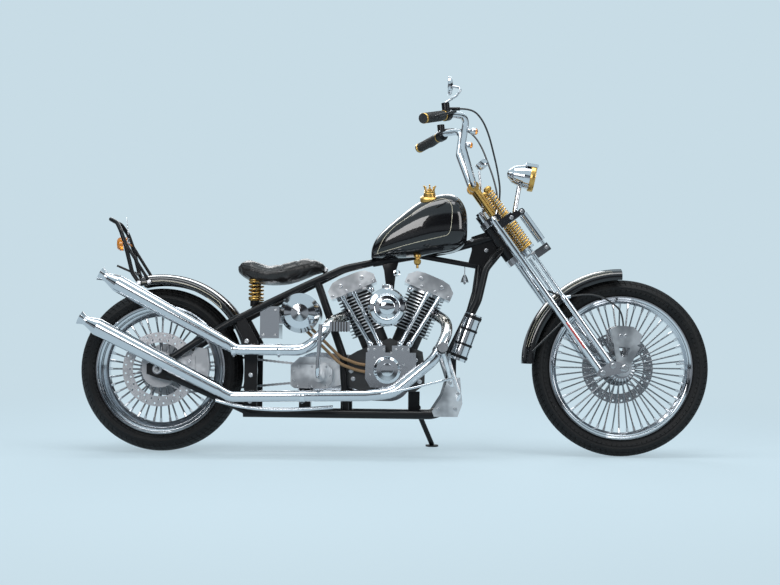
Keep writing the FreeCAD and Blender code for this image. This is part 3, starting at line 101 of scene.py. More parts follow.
# %% Camera
LOOKS_DOWN = math.radians(1.17)
ROLL = math.radians(0.72)
camera = bpy.data.objects.new("camera", bpy.data.cameras.new("camera"))
camera.data.lens = 73.4
camera.data.sensor_width = 36
camera.location = (-0.0222, -6.288, 0.7562)
tilt = Matrix.Rotation(math.pi / 2 - LOOKS_DOWN, 3, "X") @ Matrix.Rotation(ROLL, 3, "Z")
camera.rotation_euler = tilt.to_euler()
bpy.context.scene.collection.objects.link(camera)
bpy.context.scene.camera = camera
bpy.context.scene.view_settings.view_transform = "Standard"
print("camera", tuple(camera.location))

# %% [markdown]
# ## Shader sums as Python
# A finish is a sum of masks: grain plus dust, minus polish. Wrapping a socket in a small class lets
# such a sum be written as a sum. Every other node comes from one method, which takes the node's
# type, its settings and its inputs.


# %% Sockets that add and multiply
class Wire:
    """An output socket that can stand in a sum or a product."""

    def __init__(self, tree, socket):
        self.tree = tree
        self.socket = socket

    def math(self, operation, *others):
        return self.tree.node("Math", {"operation": operation}, dict(enumerate((self, *others))))

    def __add__(self, other):
        return self.math("ADD", other)

    def __sub__(self, other):
        return self.math("SUBTRACT", other)

    def __mul__(self, other):
        return self.math("MULTIPLY", other)

    def __rsub__(self, other):
        return self.tree.node("Math", {"operation": "SUBTRACT"}, {0: other, 1: self})

    __radd__ = __add__
    __rmul__ = __mul__

    def band(self, low, high):
        """0 below low, 1 above high, and smooth between."""
        return self.tree.node("MapRange", {"interpolation_type": "SMOOTHSTEP"},
                              {"Value": self, "From Min": low, "From Max": high})

    def smaller(self, other):
        return self.math("MINIMUM", other)


class Tree:
    """A node tree whose nodes are made and joined in one call each."""

    def __init__(self, tree):
        self.tree = tree

    def node(self, kind, settings, values, out=0):
        made = self.tree.nodes.new("ShaderNode" + kind)
        for key, value in settings.items():
            setattr(made, key, value)
        for key, value in values.items():
            self.join(made.inputs[key], value)
        return Wire(self, made.outputs[out])

    def join(self, socket, value):
        if isinstance(value, Wire):
            self.tree.links.new(value.socket, socket)
        else:
            socket.default_value = value

    def looked_at(self):
        """1 where the eye, a mirror or clear glass looks, 0 where light only falls."""
        eye, mirror, glass = (self.node("LightPath", {}, {}, f"Is {ray} Ray")
                              for ray in ("Camera", "Glossy", "Transmission"))
        return (eye + mirror + glass).smaller(1.0)


class Finish(Tree):
    """One material, built up by its surface values."""

    def __init__(self, name, color, roughness, metallic=0.0, **sockets):
        self.material = bpy.data.materials.new(name)
        self.material.use_nodes = True
        super().__init__(self.material.node_tree)
        self.shader = self.tree.nodes["Principled BSDF"]
        self.output = self.tree.nodes["Material Output"].inputs["Surface"]
        self.point = self.node("TexCoord", {}, {}, "Object")
        self.set("Base Color", (*color, 1))
        self.set("Roughness", roughness)
        self.set("Metallic", metallic)
        for socket, value in sockets.items():
            self.set(socket.replace("_", " "), value)

    def set(self, socket, value):
        self.join(self.shader.inputs[socket], value)

    def mix(self, factor, first, second):
        """Colour that goes from the first to the second with the factor."""
        colors = {6: first, 7: second}
        colors = {key: value if isinstance(value, Wire) else (*value, 1) for key, value in colors.items()}
        return self.node("Mix", {"data_type": "RGBA"}, {0: factor, **colors}, 2)

    def noise(self, scale, detail=3.0, roughness=0.5, stretch=(1, 1, 1), turn=(0, 0, 0)):
        """Soft noise, with scale in cells a metre, that may be stretched into a grain."""
        where = self.node("Mapping", {}, {"Vector": self.point, "Scale": stretch, "Rotation": turn})
        return self.node("TexNoise", {}, {"Vector": where, "Scale": scale, "Detail": detail,
                                          "Roughness": roughness})

    def cells(self, scale, feature="F1"):
        return self.node("TexVoronoi", {"feature": feature}, {"Vector": self.point, "Scale": scale},
                         "Distance")

    def vector(self, operation, *values, out="Value"):
        """Vector sum of the surface point and other vectors."""
        return self.node("VectorMath", {"operation": operation}, dict(enumerate(values)), out)

    def along(self, origin, direction):
        """Distance along a direction from a point, in metres."""
        away = self.vector("SUBTRACT", self.point, tuple(origin), out="Vector")
        return self.vector("DOT_PRODUCT", away, tuple(direction))

    def from_axis(self, origin, direction):
        """Distance from a line through a point in upright millimetres, in metres."""
        away = self.vector("SUBTRACT", self.point, tuple(STAND @ origin), out="Vector")
        swept = self.vector("CROSS_PRODUCT", away, tuple(LEANING @ direction), out="Vector")
        return self.vector("LENGTH", swept)

    def bump(self, height, depth):
        """Raises the surface by a 0 to 1 height times a depth in metres."""
        self.set("Normal", self.node("Bump", {}, {"Height": height, "Distance": depth, "Strength": 1.0}))


print("finish helper ready")

# %% [markdown]
# ## Modelling helpers
# Most parts of a motorcycle are turned, bent or cut from plate. Each helper puts one such shape in
# an open bmesh with Blender's own operators. Several shapes share one mesh, so that the bolts of one
# cover are one piece.

# %% Turned, bent and bolted shapes
def facing(at, axis):
    """Matrix that puts a shape made along z at a point, along an axis."""
    turn = Vector(axis).to_track_quat("Z", "Y").to_matrix().to_4x4()
    return Matrix.Translation(at) @ turn


def turned(bm, profile, at, axis=ACROSS, steps=48):
    """Shape of revolution from an open outline of (radius, distance along the axis)."""
    place = facing(at, axis)
    ring = [bm.verts.new(place @ Vector((r, 0, t))) for r, t in profile]
    chain = [bm.edges.new(pair) for pair in zip(ring, ring[1:])]
    bmesh.ops.spin(bm, geom=ring + chain, cent=at, axis=Vector(axis).normalized(), angle=2 * math.pi,
                   steps=steps, use_merge=True)


def bar(bm, start, end, radius, far_radius=None, sides=16):
    """Round bar between two points, or a taper."""
    run = Vector(end) - Vector(start)
    bmesh.ops.create_cone(bm, cap_ends=True, segments=sides, radius1=radius, depth=run.length,
                          radius2=radius if far_radius is None else far_radius,
                          matrix=facing(Vector(start) + run / 2, run))


def bolt(bm, at, axis, across=12.0, height=6.0, washer=True):
    """Hexagon head with a chamfered top, on a washer."""
    flat_to_corner = 0.577
    axis = Vector(axis).normalized()
    if washer:
        turned(bm, [(0, 0), (across * 0.68, 0), (across * 0.68, 1.2), (0, 1.2)], at, axis, 14)
    made = bmesh.ops.create_cone(bm, cap_ends=True, segments=6, radius1=across * flat_to_corner,
                                 radius2=across * flat_to_corner, depth=height,
                                 matrix=facing(Vector(at) + axis * (height / 2 + 1), axis))
    top = {f for v in made["verts"] for f in v.link_faces if f.normal.dot(axis) > 0.9}
    bmesh.ops.inset_region(bm, faces=list(top), thickness=across * 0.08, depth=across * 0.06)


def socket_bolt(bm, at, axis, radius=5.0, height=6.0):
    """Cap screw with a round head and a sunk socket."""
    turned(bm, [(0, height * 0.45), (radius * 0.5, height * 0.45), (radius * 0.55, height),
                (radius * 0.85, height), (radius, height * 0.8), (radius, 0), (0, 0)], at, axis, 12)


def coil(bm, start, end, coil_r, wire_r, turns):
    """Coil spring: a round wire section spun along its axis, with a closed turn at each end."""
    per_turn, sides = 28, 8
    axis = end - start
    length = axis.length
    axis.normalize()
    side = axis.cross(ACROSS).normalized()
    middle = start + side * (coil_r - wire_r) + axis * wire_r
    section = bmesh.ops.create_circle(bm, segments=sides, radius=wire_r,
                                      matrix=facing(middle, axis.cross(side)))["verts"]
    end_rise = wire_r * 1.4
    pitch = (length - 2 * wire_r - 2 * end_rise) / (turns - 2)
    for count, rise in ((1, end_rise), (turns - 2, pitch), (1, end_rise)):
        edges = list({e for v in section for e in v.link_edges if e.other_vert(v) in section})
        steps = round(count * per_turn)
        spun = bmesh.ops.spin(bm, geom=section + edges, cent=start, axis=axis, steps=steps,
                              dvec=axis * (rise * count / steps), angle=2 * math.pi * count)
        section = [g for g in spun["geom_last"] if isinstance(g, bmesh.types.BMVert)]
    bmesh.ops.holes_fill(bm, edges=[e for e in bm.edges if e.is_boundary], sides=sides)


# %% Skins and tubes along a line
def loft(bm, rings, closed=False):
    """Skin from ring to ring, closed round or with a cap at each end."""
    for near, far in zip(rings, rings[1:] + rings[:closed]):
        pair = {e for ring in (near, far) for v in ring for e in v.link_edges if e.other_vert(v) in ring}
        bmesh.ops.bridge_loops(bm, edges=list(pair))
    if not closed:
        for ring in (rings[0], rings[-1]):
            bmesh.ops.contextual_create(bm, geom=ring)


def tube(bm, line, radius, sides, closed=False):
    """Round section carried along a line of points."""
    last = len(line) - 1
    rings = []
    for i, p in enumerate(line):
        ahead = line[(i + 1) % len(line)] - line[i - 1] if closed else line[min(i + 1,
                                                                                last)] - line[max(i - 1, 0)]
        rings.append(bmesh.ops.create_circle(bm, segments=sides, radius=radius,
                                             matrix=facing(p, ahead))["verts"])
    loft(bm, rings, closed)


def smooth_line(points):
    """Points along a smooth spline whose control points are given."""
    curve = bpy.data.curves.new("guide", "CURVE")
    curve.dimensions = "3D"
    spline = curve.splines.new("NURBS")
    spline.points.add(len(points) - 1)
    for knot, p in zip(spline.points, points):
        knot.co = (*p, 1)
    spline.order_u = 3
    spline.use_endpoint_u = True
    spline.resolution_u = 8
    holder = bpy.data.objects.new("guide", curve)
    mesh = bpy.data.meshes.new_from_object(holder)
    line = [v.co.copy() for v in mesh.vertices]
    bpy.data.objects.remove(holder)
    bpy.data.meshes.remove(mesh)
    return line


# %% From an open bmesh to a finished piece
def meshed(bm, name):
    mesh = bpy.data.meshes.new(name)
    bm.to_mesh(mesh)
    bm.free()
    return mesh


def shown(name, mesh, finish):
    """Puts a mesh in the scene with its finish."""
    made = bpy.data.objects.new(name, mesh)
    bpy.context.scene.collection.objects.link(made)
    mesh.materials.append(finish.material)
    return made


def piece(bm, name, finish, body, smooth=38):
    """Stands the mesh up, gives it its finish and lets it ride on its body."""
    bmesh.ops.remove_doubles(bm, verts=bm.verts, dist=0.02)
    bmesh.ops.recalc_face_normals(bm, faces=bm.faces)
    mesh = meshed(bm, name)
    mesh.transform(STAND)
    mesh.polygons.foreach_set("use_smooth", [True] * len(mesh.polygons))
    mesh.set_sharp_from_angle(angle=math.radians(smooth))
    made = shown(name, mesh, finish)
    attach(made, body)
    print(name, "faces", len(mesh.polygons))
    return made


# %% [markdown]
# ## Cables and the brake hose
# A control cable is a steel wire in a black plastic sleeve. It leaves the control, drops in front of
# the handlebar and goes to a clip on the top of the fork. The hose runs from a clip on the spring
# leg to the right caliper. Each is one smooth spline through its route, with the true thickness.

# %% Rubber for cables
cable_skin = Finish("cable_skin", (0.016, 0.016, 0.017), 0.42)
ribs = cable_skin.noise(900, 2)
cable_skin.set("Roughness", 0.36 + ribs * 0.2)
cable_skin.bump(ribs, 0.00012)

CABLES = {
    "throttle_cable": ([(0.2333, -0.2576, 1.3313), (0.2792, -0.2514, 1.3329), (0.3192, -0.2299, 1.2973),
                        (0.3473, -0.2017, 1.2412), (0.3673, -0.1701, 1.1768), (0.3893, -0.1293, 1.1018),
                        (0.4049, -0.0894, 1.0126), (0.3913, -0.0934, 0.9449)], 0.489),
    "clutch_cable": ([(0.2333, 0.2652, 1.2947), (0.2792, 0.2593, 1.2972), (0.3192, 0.233, 1.2649),
                      (0.3473, 0.1973, 1.2133), (0.3673, 0.1571, 1.1539), (0.3893, 0.1062, 1.0853),
                      (0.4049, 0.0543, 1.0025), (0.3913, 0.0502, 0.9349)], 0.489),
    "brake_hose": ([(0.6753, -0.1446, 0.6237), (0.7352, -0.1418, 0.6355), (0.7953, -0.1395, 0.6253),
                    (0.8433, -0.1343, 0.5989), (0.8812, -0.1168, 0.5636), (0.8852, -0.1184, 0.5109)], 0.281),
}


# %% The three cords
def cord(name, points, length, radius=0.0035):
    curve = bpy.data.curves.new(name, "CURVE")
    curve.dimensions = "3D"
    curve.bevel_depth = radius
    curve.bevel_resolution = 4
    curve.resolution_u = 16
    curve.use_fill_caps = True
    spline = curve.splines.new("NURBS")
    spline.points.add(len(points) - 1)
    for knot, p in zip(spline.points, points):
        knot.co = (*p, 1)
    spline.order_u = 3
    spline.use_endpoint_u = True
    made = shown(name + "_line", curve, cable_skin)
    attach(made, "steering")
    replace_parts(made, name)
    print(name, "length", length)


for name, (points, length) in CABLES.items():
    cord(name, points, length)

# %% [markdown]
# ## Studio
# The studio is a pale blue floor that runs into a backdrop of the same colour. The light is broad
# and soft: a large panel overhead, one from the camera's side, one in front and one behind. Chrome
# needs something dark to reflect as well: a round wall with one lighter band, which only shows in
# polished metal.

# %% Floor and world
SKY = (0.578, 0.716, 0.791)
NEAR_GLOW = 0.62
floor_paint = Finish("studio_floor", SKY, 0.9, Specular_IOR_Level=0.1)
floor_paint.set("Roughness", 0.86 + floor_paint.noise(3, 2) * 0.1)
glow = floor_paint.node("Emission", {}, {"Color": (*SKY, 1), "Strength": 1.0})
away = floor_paint.vector("LENGTH", floor_paint.point)
share = floor_paint.looked_at() * (NEAR_GLOW + away.band(1.2, 3.6) * (1 - NEAR_GLOW))
paint_out = Wire(floor_paint, floor_paint.shader.outputs[0])
floor_paint.join(floor_paint.output, floor_paint.node("MixShader", {}, {0: share, 1: paint_out, 2: glow}))
floor_mesh = bmesh.new()
bmesh.ops.create_grid(floor_mesh, x_segments=1, y_segments=1, size=30)
floor = shown("floor", meshed(floor_mesh, "floor"), floor_paint)
floor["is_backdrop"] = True

world = bpy.data.worlds.new("studio")
bpy.context.scene.world = world
world.use_nodes = True
sky = Tree(world.node_tree)
backdrop = sky.tree.nodes["Background"]
sky.join(backdrop.inputs["Color"], (*SKY, 1))
dim = sky.node("Background", {}, {"Color": (0.80, 0.88, 0.95, 1), "Strength": 0.42})
both = sky.node("MixShader", {}, {0: sky.looked_at(), 1: dim, 2: Wire(sky, backdrop.outputs[0])})
sky.join(sky.tree.nodes["World Output"].inputs[0], both)


# %% Soft panels
def panel(name, at, aim, size, watts):
    lamp = bpy.data.lights.new(name, "AREA")
    lamp.shape = "RECTANGLE"
    lamp.size, lamp.size_y = size
    lamp.energy = watts
    held = bpy.data.objects.new(name, lamp)
    held.location = at
    held.rotation_euler = (Vector(aim) - Vector(at)).to_track_quat("-Z", "Y").to_euler()
    bpy.context.scene.collection.objects.link(held)


panel("overhead", (0.0, -0.6, 4.2), (0, 0, 0.4), (4.5, 1.6), 130)
panel("side", (-1.8, -4.6, 2.4), (0, 0, 0.6), (2.2, 1.4), 80)
panel("front", (3.6, -2.2, 1.8), (0.2, 0, 0.6), (0.9, 2.0), 34)
panel("back", (-0.5, 3.8, 2.6), (0, 0, 0.6), (3.0, 1.2), 60)

# %% Studio walls that only polished metal sees
WALL_RADIUS = 5.6
WALL_HEIGHT = 3.6
wall_paint = Finish("studio_wall", (0.02, 0.022, 0.025), 0.9)
wall_paint.set("Roughness", 0.85 + wall_paint.noise(2, 2) * 0.1)
height = wall_paint.along((0, 0, 0), UP)
middle = height.band(0.45, 0.75) * (1 - height.band(1.3, 1.7))
wall_color = wall_paint.mix(middle, (0.02, 0.022, 0.026), (0.30, 0.33, 0.36))
wall_glow = wall_paint.node("Emission", {}, {"Color": wall_color})
solid_band = height.band(0.1, 0.35) * (1 - height.band(2.7, 3.5))
clear = wall_paint.node("BsdfTransparent", {}, {})
wall_paint.join(wall_paint.output,
                wall_paint.node("MixShader", {}, {0: solid_band, 1: clear, 2: wall_glow}))
wall_mesh = bmesh.new()
bmesh.ops.create_cone(wall_mesh, cap_ends=False, segments=96, radius1=WALL_RADIUS, radius2=WALL_RADIUS,
                      depth=WALL_HEIGHT, matrix=Matrix.Translation((0, 0, WALL_HEIGHT / 2 + 0.01)))
studio_wall = shown("studio_wall", meshed(wall_mesh, "studio_wall"), wall_paint)
for ray in ("camera", "diffuse", "transmission", "volume_scatter", "shadow"):
    setattr(studio_wall, "visible_" + ray, False)
studio_wall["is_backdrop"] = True
print("studio ready")

# %% [markdown]
# ## Metals
# Bare metals carry most of this motorcycle. Chrome is bright and nearly a mirror, with faint
# polishing marks and a thin haze of dust. Polished aluminium is softer, with clouds of oxide. Steel
# discs keep the fine rings that the pads cut. A wheel's chrome carries painted shade: its spokes
# and the sunk grooves of its rim are darkened in colour, both found by the distance from the axle.

# %% Chrome, gold, aluminium and steel
def metal(name, color, roughness, haze, bite, scale=40.0):
    """Bare metal with cloudy polish, small scratches and a trace of grime."""
    made = Finish(name, color, roughness, 1.0)
    cloud = made.noise(scale * 0.25, 4)
    scratch = made.noise(scale * 6, 2, stretch=(1, 9, 1), turn=(0.3, 0.2, 0.7))
    grime = made.noise(scale, 5, 0.65).band(0.56, 0.78)
    made.set("Roughness", roughness + cloud * haze + scratch * (haze * 0.6) + grime * (haze * 0.8))
    made.set("Base Color", made.mix(grime * 0.35, color, tuple(c * 0.72 for c in color)))
    made.bump(scratch, bite)
    return made


chrome = metal("chrome", (0.66, 0.68, 0.71), 0.035, 0.07, 0.000006)
gold = metal("gold", (0.60, 0.37, 0.11), 0.2, 0.14, 0.00002)
steel = metal("steel", (0.42, 0.43, 0.45), 0.26, 0.16, 0.00003)
bright = metal("zinc_bolts", (0.62, 0.63, 0.65), 0.16, 0.14, 0.00002, 90)
mirror_glass = metal("mirror_glass", (0.80, 0.83, 0.86), 0.015, 0.01, 0.000001)
aluminium = metal("polished_aluminium", (0.58, 0.59, 0.61), 0.2, 0.14, 0.00003)
shine = aluminium.noise(7, 3, 0.6).band(0.36, 0.62)
oxide = aluminium.noise(40, 5, 0.65).band(0.56, 0.78)
aluminium.set("Base Color",
              aluminium.mix(shine * (1 - oxide * 0.4), (0.36, 0.37, 0.39), (0.88, 0.89, 0.91)))


# %% Discs and wheels
def ringed(name, axle, color):
    """Brake disc steel, turned in fine rings about its axle."""
    made = Finish(name, color, 0.3, 1.0)
    radius = made.from_axis(axle, ACROSS)
    rings = (radius * 9000.0).math("SINE") * 0.5 + 0.5
    streak = made.noise(35, 4)
    swept = radius.band(0.1, 0.104)
    made.set("Roughness", 0.34 - swept * 0.14 + rings * 0.08 + streak * 0.12)
    made.set("Base Color", made.mix(swept * 0.8 + streak * 0.2, tuple(c * 0.7 for c in color), color))
    made.bump(rings, 0.00003)
    return made


def wheel_metal(name, axle, well, flange):
    """Chrome wheel: painted shade darkens the slim spokes and the rim's sunk grooves, by radii in metres."""
    groove_step = 0.0125
    made = Finish(name, (0.6, 0.62, 0.65), 0.06, 1.0)
    radius = made.from_axis(axle, ACROSS)
    # Painted shade: the chrome between the hub and the rim well, where the spokes run, is darkened in colour.
    spokes = radius.band(0.049, 0.051) * (1 - radius.band(well - 0.005, well - 0.002))
    wave = (radius * (2 * math.pi / groove_step)).math("SINE").band(0.35, 0.8)
    groove_and_shade = (wave * radius.band(well + 0.012, well + 0.014)
              * (1 - radius.band(flange - 0.008, flange - 0.006)))
    cloud = made.noise(18, 4)
    made.set("Roughness", 0.05 + spokes * 0.16 + cloud * 0.07)
    # Painted shade in the rim's sunk grooves and on the spokes: both darken the chrome's base colour.
    rim_color = made.mix(groove_and_shade * 0.75, (0.62, 0.64, 0.67), (0.10, 0.105, 0.11))
    made.set("Base Color", made.mix(spokes * 0.8, rim_color, (0.13, 0.135, 0.145)))
    made.bump(groove_and_shade + cloud * 0.1, -0.0004)
    return made


front_wheel_metal = wheel_metal("front_wheel_chrome", FRONT_AXLE, 0.252, 0.279)
rear_wheel_metal = wheel_metal("rear_wheel_chrome", REAR_AXLE, 0.206, 0.250)
front_disc_steel = ringed("front_disc_steel", FRONT_AXLE, (0.40, 0.40, 0.42))
rear_disc_steel = ringed("rear_disc_steel", REAR_AXLE, (0.46, 0.46, 0.48))
print("metals ready")

# %% [markdown]
# ## Heat-tinted exhaust chrome
# Chromed pipes turn straw yellow and then blue where they leave the heads. The tint is a mask on the
# distance from each exhaust port, made uneven with a little noise, over the same chrome.

# %% Exhaust chrome
PIPE_CHROME = (0.60, 0.62, 0.65)
exhaust_chrome = metal("exhaust_chrome", PIPE_CHROME, 0.04, 0.08, 0.000006)
near_front, near_rear = (exhaust_chrome.vector("DISTANCE", exhaust_chrome.point, tuple(STAND @ Vector(port)))
                         for port in ((1080, -60, 540), (715, -60, 530)))
closest = near_front.smaller(near_rear) + exhaust_chrome.noise(20, 3) * 0.05
straw = 1 - closest.band(0.06, 0.26)
blue = 1 - closest.band(0.02, 0.12)
tinted = exhaust_chrome.mix(straw * 0.5, PIPE_CHROME, (0.62, 0.50, 0.30))
exhaust_chrome.set("Base Color", exhaust_chrome.mix(blue * 0.5, tinted, (0.22, 0.26, 0.45)))
print("exhaust tint ready")

# %% [markdown]
# ## Paints
# The tank and guards are deep gloss black under clear lacquer. The frame is a satin powder coat,
# slightly pebbled. The engine's cases and fins are baked wrinkle black, and the outer edges of the
# fins are machined bright. The distance from each cylinder's axis gives that edge.


# %% Gloss, satin and wrinkle black
def weathered(name, low, high, share, roughness, grain, wear, edges, depth, **sockets):
    """Fine grain under patches of wear. Roughness is its base, then what grain and wear add."""
    made = Finish(name, low, roughness[0], **sockets)
    fine = made.noise(grain, 3)
    patch = made.noise(*wear).band(*edges)
    made.set("Roughness", roughness[0] + fine * roughness[1] + patch * roughness[2])
    made.set("Base Color", made.mix(patch * share, low, high))
    made.bump(fine, depth)
    return made


LACQUER_BLACK = (0.004, 0.004, 0.005)
gloss_black = Finish("gloss_black", LACQUER_BLACK, 0.16, Coat_Weight=1.0, Coat_Roughness=0.02,
                     Specular_IOR_Level=0.12)
dust = gloss_black.noise(1800, 2).band(0.66, 0.8)
veil = gloss_black.noise(6, 4)
gloss_black.set("Roughness", 0.12 + veil * 0.12 + dust * 0.2)
gloss_black.set("Base Color", gloss_black.mix(dust * 0.35 + veil * 0.03, LACQUER_BLACK, (0.09, 0.09, 0.085)))
gloss_black.bump(gloss_black.noise(260, 2), 0.000012)

satin_black = weathered("satin_black", (0.006, 0.006, 0.007), (0.04, 0.038, 0.036), 0.4, (0.27, 0.14, 0.2),
                        650, (28, 6, 0.7), (0.62, 0.8), 0.00006, Coat_Weight=0.14, Coat_Roughness=0.15,
                        Specular_IOR_Level=0.18)

wrinkle_black = Finish("wrinkle_black", (0.02, 0.02, 0.021), 0.55)
wrinkle = wrinkle_black.cells(520, "SMOOTH_F1") * 0.7 + wrinkle_black.noise(900, 2) * 0.3
oily = wrinkle_black.noise(16, 5, 0.6).band(0.5, 0.75)
wrinkle_black.set("Roughness", 0.6 - oily * 0.2)
wrinkle_black.set("Base Color", wrinkle_black.mix(oily, (0.022, 0.022, 0.023), (0.011, 0.010, 0.009)))
wrinkle_black.bump(wrinkle, 0.00025)

# %% Finned barrels with bright edges
fins = Finish("finned_black", (0.02, 0.02, 0.021), 0.55)
first, second = (fins.from_axis(CRANK, axis) for axis in CYLINDERS)
machined = first.smaller(second).band(0.0732, 0.0742)
cast = fins.noise(420, 4)
soot = fins.noise(24, 5).band(0.45, 0.7)
fins.set("Metallic", machined)
fins.set("Roughness", 0.6 - machined * 0.32 + cast * 0.1)
fins.set("Base Color", fins.mix(machined, (0.018, 0.018, 0.019), (0.56, 0.57, 0.59)))
fins.bump(cast * (1 - machined) + soot * 0.2, 0.0002)
print("paints ready")

# %% [markdown]
# ## Rubber, leather and glass
# Tyre rubber is matt and slightly brown with dust in the tread. Leather has a pebbled grain of small
# cells with creases between them, and shines where it is sat on. Lamp glass is clear, and the tail
# lamp's plastic is amber.

# %% Rubber
tyre_rubber = weathered("tyre_rubber", (0.007, 0.007, 0.0075), (0.022, 0.021, 0.020), 0.5, (0.5, 0.12, 0.2),
                        700, (14, 6, 0.6), (0.42, 0.72), 0.0001, Specular_IOR_Level=0.22)
rubber = weathered("black_rubber", (0.014, 0.014, 0.014), (0.05, 0.05, 0.048), 0.4, (0.45, 0.2, -0.1),
                   800, (45, 4), (0.5, 0.75), 0.0001)

# %% Leather
leather = Finish("black_leather", (0.010, 0.009, 0.009), 0.36, Specular_IOR_Level=0.5)
grain = leather.cells(460, "SMOOTH_F1")
crease = leather.cells(170, "DISTANCE_TO_EDGE").band(0.0, 0.12)
polish = leather.noise(18, 4, 0.55)
leather.set("Roughness", 0.4 - polish * 0.22 + grain * 0.1)
leather.set("Base Color", leather.mix(polish * 0.5 + grain * 0.2, (0.007, 0.006, 0.006),
                                      (0.022, 0.018, 0.016)))
leather.bump(grain * 0.7 + crease * 0.3, 0.00035)

# %% Glass, amber and brown hose
glass = Finish("lamp_glass", (0.94, 0.97, 1.0), 0.03, Transmission_Weight=1.0, IOR=1.45)
glass.set("Roughness", 0.02 + glass.noise(60, 4).band(0.5, 0.8) * 0.12)
amber = Finish("amber_plastic", (0.85, 0.30, 0.03), 0.12, Transmission_Weight=0.55, IOR=1.49)
flow = amber.noise(80, 3)
amber.set("Roughness", 0.1 + flow * 0.1)
amber.set("Base Color", amber.mix(flow, (0.80, 0.24, 0.02), (0.92, 0.38, 0.05)))
brown_hose = Finish("brown_hose", (0.26, 0.15, 0.07), 0.45)
strand, cross = ((brown_hose.along((0, 0, 0), way) * 2600.0).math("SINE") for way in (FORWARD, (0.2, 0.3, 1)))
braid = strand * cross * 0.5 + 0.5
stain = brown_hose.noise(30, 4)
brown_hose.set("Roughness", 0.36 + braid * 0.18 + stain * 0.1)
brown_hose.set("Base Color", brown_hose.mix(braid * 0.5 + stain * 0.4, (0.13, 0.07, 0.03),
                                            (0.40, 0.25, 0.12)))
brown_hose.bump(braid, 0.0003)

# %% Cream and reflector red
cream = Finish("cream_pinstripe", (0.62, 0.56, 0.40), 0.3, Coat_Weight=0.8, Coat_Roughness=0.03)
brush = cream.noise(240, 3)
cream.set("Roughness", 0.24 + brush * 0.2)
cream.set("Base Color", cream.mix(brush, (0.50, 0.44, 0.30), (0.72, 0.67, 0.52)))
cream.bump(brush, 0.00003)
red = Finish("red_reflector", (0.42, 0.03, 0.02), 0.2, Coat_Weight=1.0, Coat_Roughness=0.05)
prism = red.cells(900)
red.set("Base Color", red.mix(prism, (0.30, 0.015, 0.012), (0.62, 0.06, 0.04)))
red.set("Roughness", 0.18 + prism * 0.2)
red.bump(prism, 0.0002)
print("soft finishes ready")

# %% [markdown]
# ## Finishes on the castings, tubes and turned parts
# Every solid that already has the right shape keeps it and gets its finish here. A solid that a
# detailed piece stands for later is hidden by that piece.

# %% Which node wears which finish
WEARS = {
    rear_wheel_metal: "rear_rim",
    front_wheel_metal: "front_rim",
    chrome: "rear_axle timing_cover air_cleaner kick_arm primary_cover oil_tank rigid_fork spring_legs "
            "fork_rockers front_axle damper handlebar mirror headlight oil_filter",
    exhaust_chrome: "exhaust_upper exhaust_lower",
    aluminium: "rocker_covers gearbox foot_controls rear_caliper front_caliper",
    steel: "rear_sprocket drive_chain",
    front_disc_steel: "front_disc",
    rear_disc_steel: "rear_disc",
    gold: "risers tank_cap seat_springs fork_springs",
    satin_black: "frame_backbone frame_cradle rear_stays sissy_bar side_stand hand_controls",
    wrinkle_black: "crankcase",
    fins: "cylinders",
    gloss_black: "fuel_tank rear_fender front_fender",
    tyre_rubber: "rear_tyre front_tyre",
    rubber: "grips",
    leather: "seat",
    glass: "headlight_lens",
    amber: "tail_lamp",
    brown_hose: "oil_lines",
}
dressed = set()
for finish, names in WEARS.items():
    for name in names.split():
        slots = nodes[name].data.materials
        slots.clear()
        slots.append(finish.material)
        dressed.add(name)
print("dressed nodes", len(dressed), "bare", sorted(set(nodes) - dressed))

# %% [markdown]
# ## Tyres with cut tread
# A road tyre is a round rubber section with blocks cut into its crown. The blocks could be a bump
# pattern, but the outline of the tyre shows them, so they are modelled. The section is spun, each
# ring of points is turned a little more the further it lies from the middle, which makes arrows of
# the rows, and each crown face is inset and raised.

# %% Two tyres
GROOVE_DEPTH = 3.2
GROOVE_HALF = 1.5
TREAD_STRIPS = 5
BEAD_HEIGHT = 12.6


def treaded_tyre(node, axle, outer, width, crown, flange, rim_width, rows, sweep, body):
    half = width / 2
    bead = rim_width / 2 - 8.5
    shoulder = math.asin(half / crown)
    crown_centre = outer - crown
    wall_top = crown_centre + crown * math.cos(shoulder)
    section = [(flange - BEAD_HEIGHT, bead - 11), (flange - BEAD_HEIGHT, bead), (flange + 1, bead)]
    for share in (0.22, 0.5, 0.78):
        section.append((flange + 1 + (wall_top - flange - 1) * share,
                        bead + (half - bead) * share + 2.2 * math.sin(math.pi * share)))
    section.append((wall_top, half))
    cut = shoulder * 0.86
    arcs = [(crown - 0.4, cut * 1.03)] + [(crown - GROOVE_DEPTH, cut * (1 - n / (TREAD_STRIPS - 0.5)))
                                          for n in range(TREAD_STRIPS)]
    section += [(crown_centre + reach * math.cos(angle), reach * math.sin(angle)) for reach, angle in arcs]
    whole = section + [(r, -y) for r, y in section[::-1]]
    bm = bmesh.new()
    turned(bm, whole + [whole[0]], axle, ACROSS, rows)
    bmesh.ops.remove_doubles(bm, verts=bm.verts, dist=0.02)
    for vert in bm.verts:
        turn = Matrix.Rotation(sweep * min(abs(vert.co.y), half) / half, 3, "Y")
        vert.co = turn @ (vert.co - axle) + axle
    bmesh.ops.recalc_face_normals(bm, faces=bm.faces)
    blocks = []
    for face in bm.faces:
        middle = face.calc_center_median() - axle
        if math.hypot(middle.x, middle.z) > crown_centre and abs(middle.y) < crown * math.sin(cut):
            blocks.append(face)
    bmesh.ops.inset_individual(bm, faces=blocks, thickness=GROOVE_HALF, depth=GROOVE_DEPTH - 0.3,
                               use_even_offset=True)
    made = piece(bm, node + "_tread", tyre_rubber, body, smooth=32)
    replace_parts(made, node)


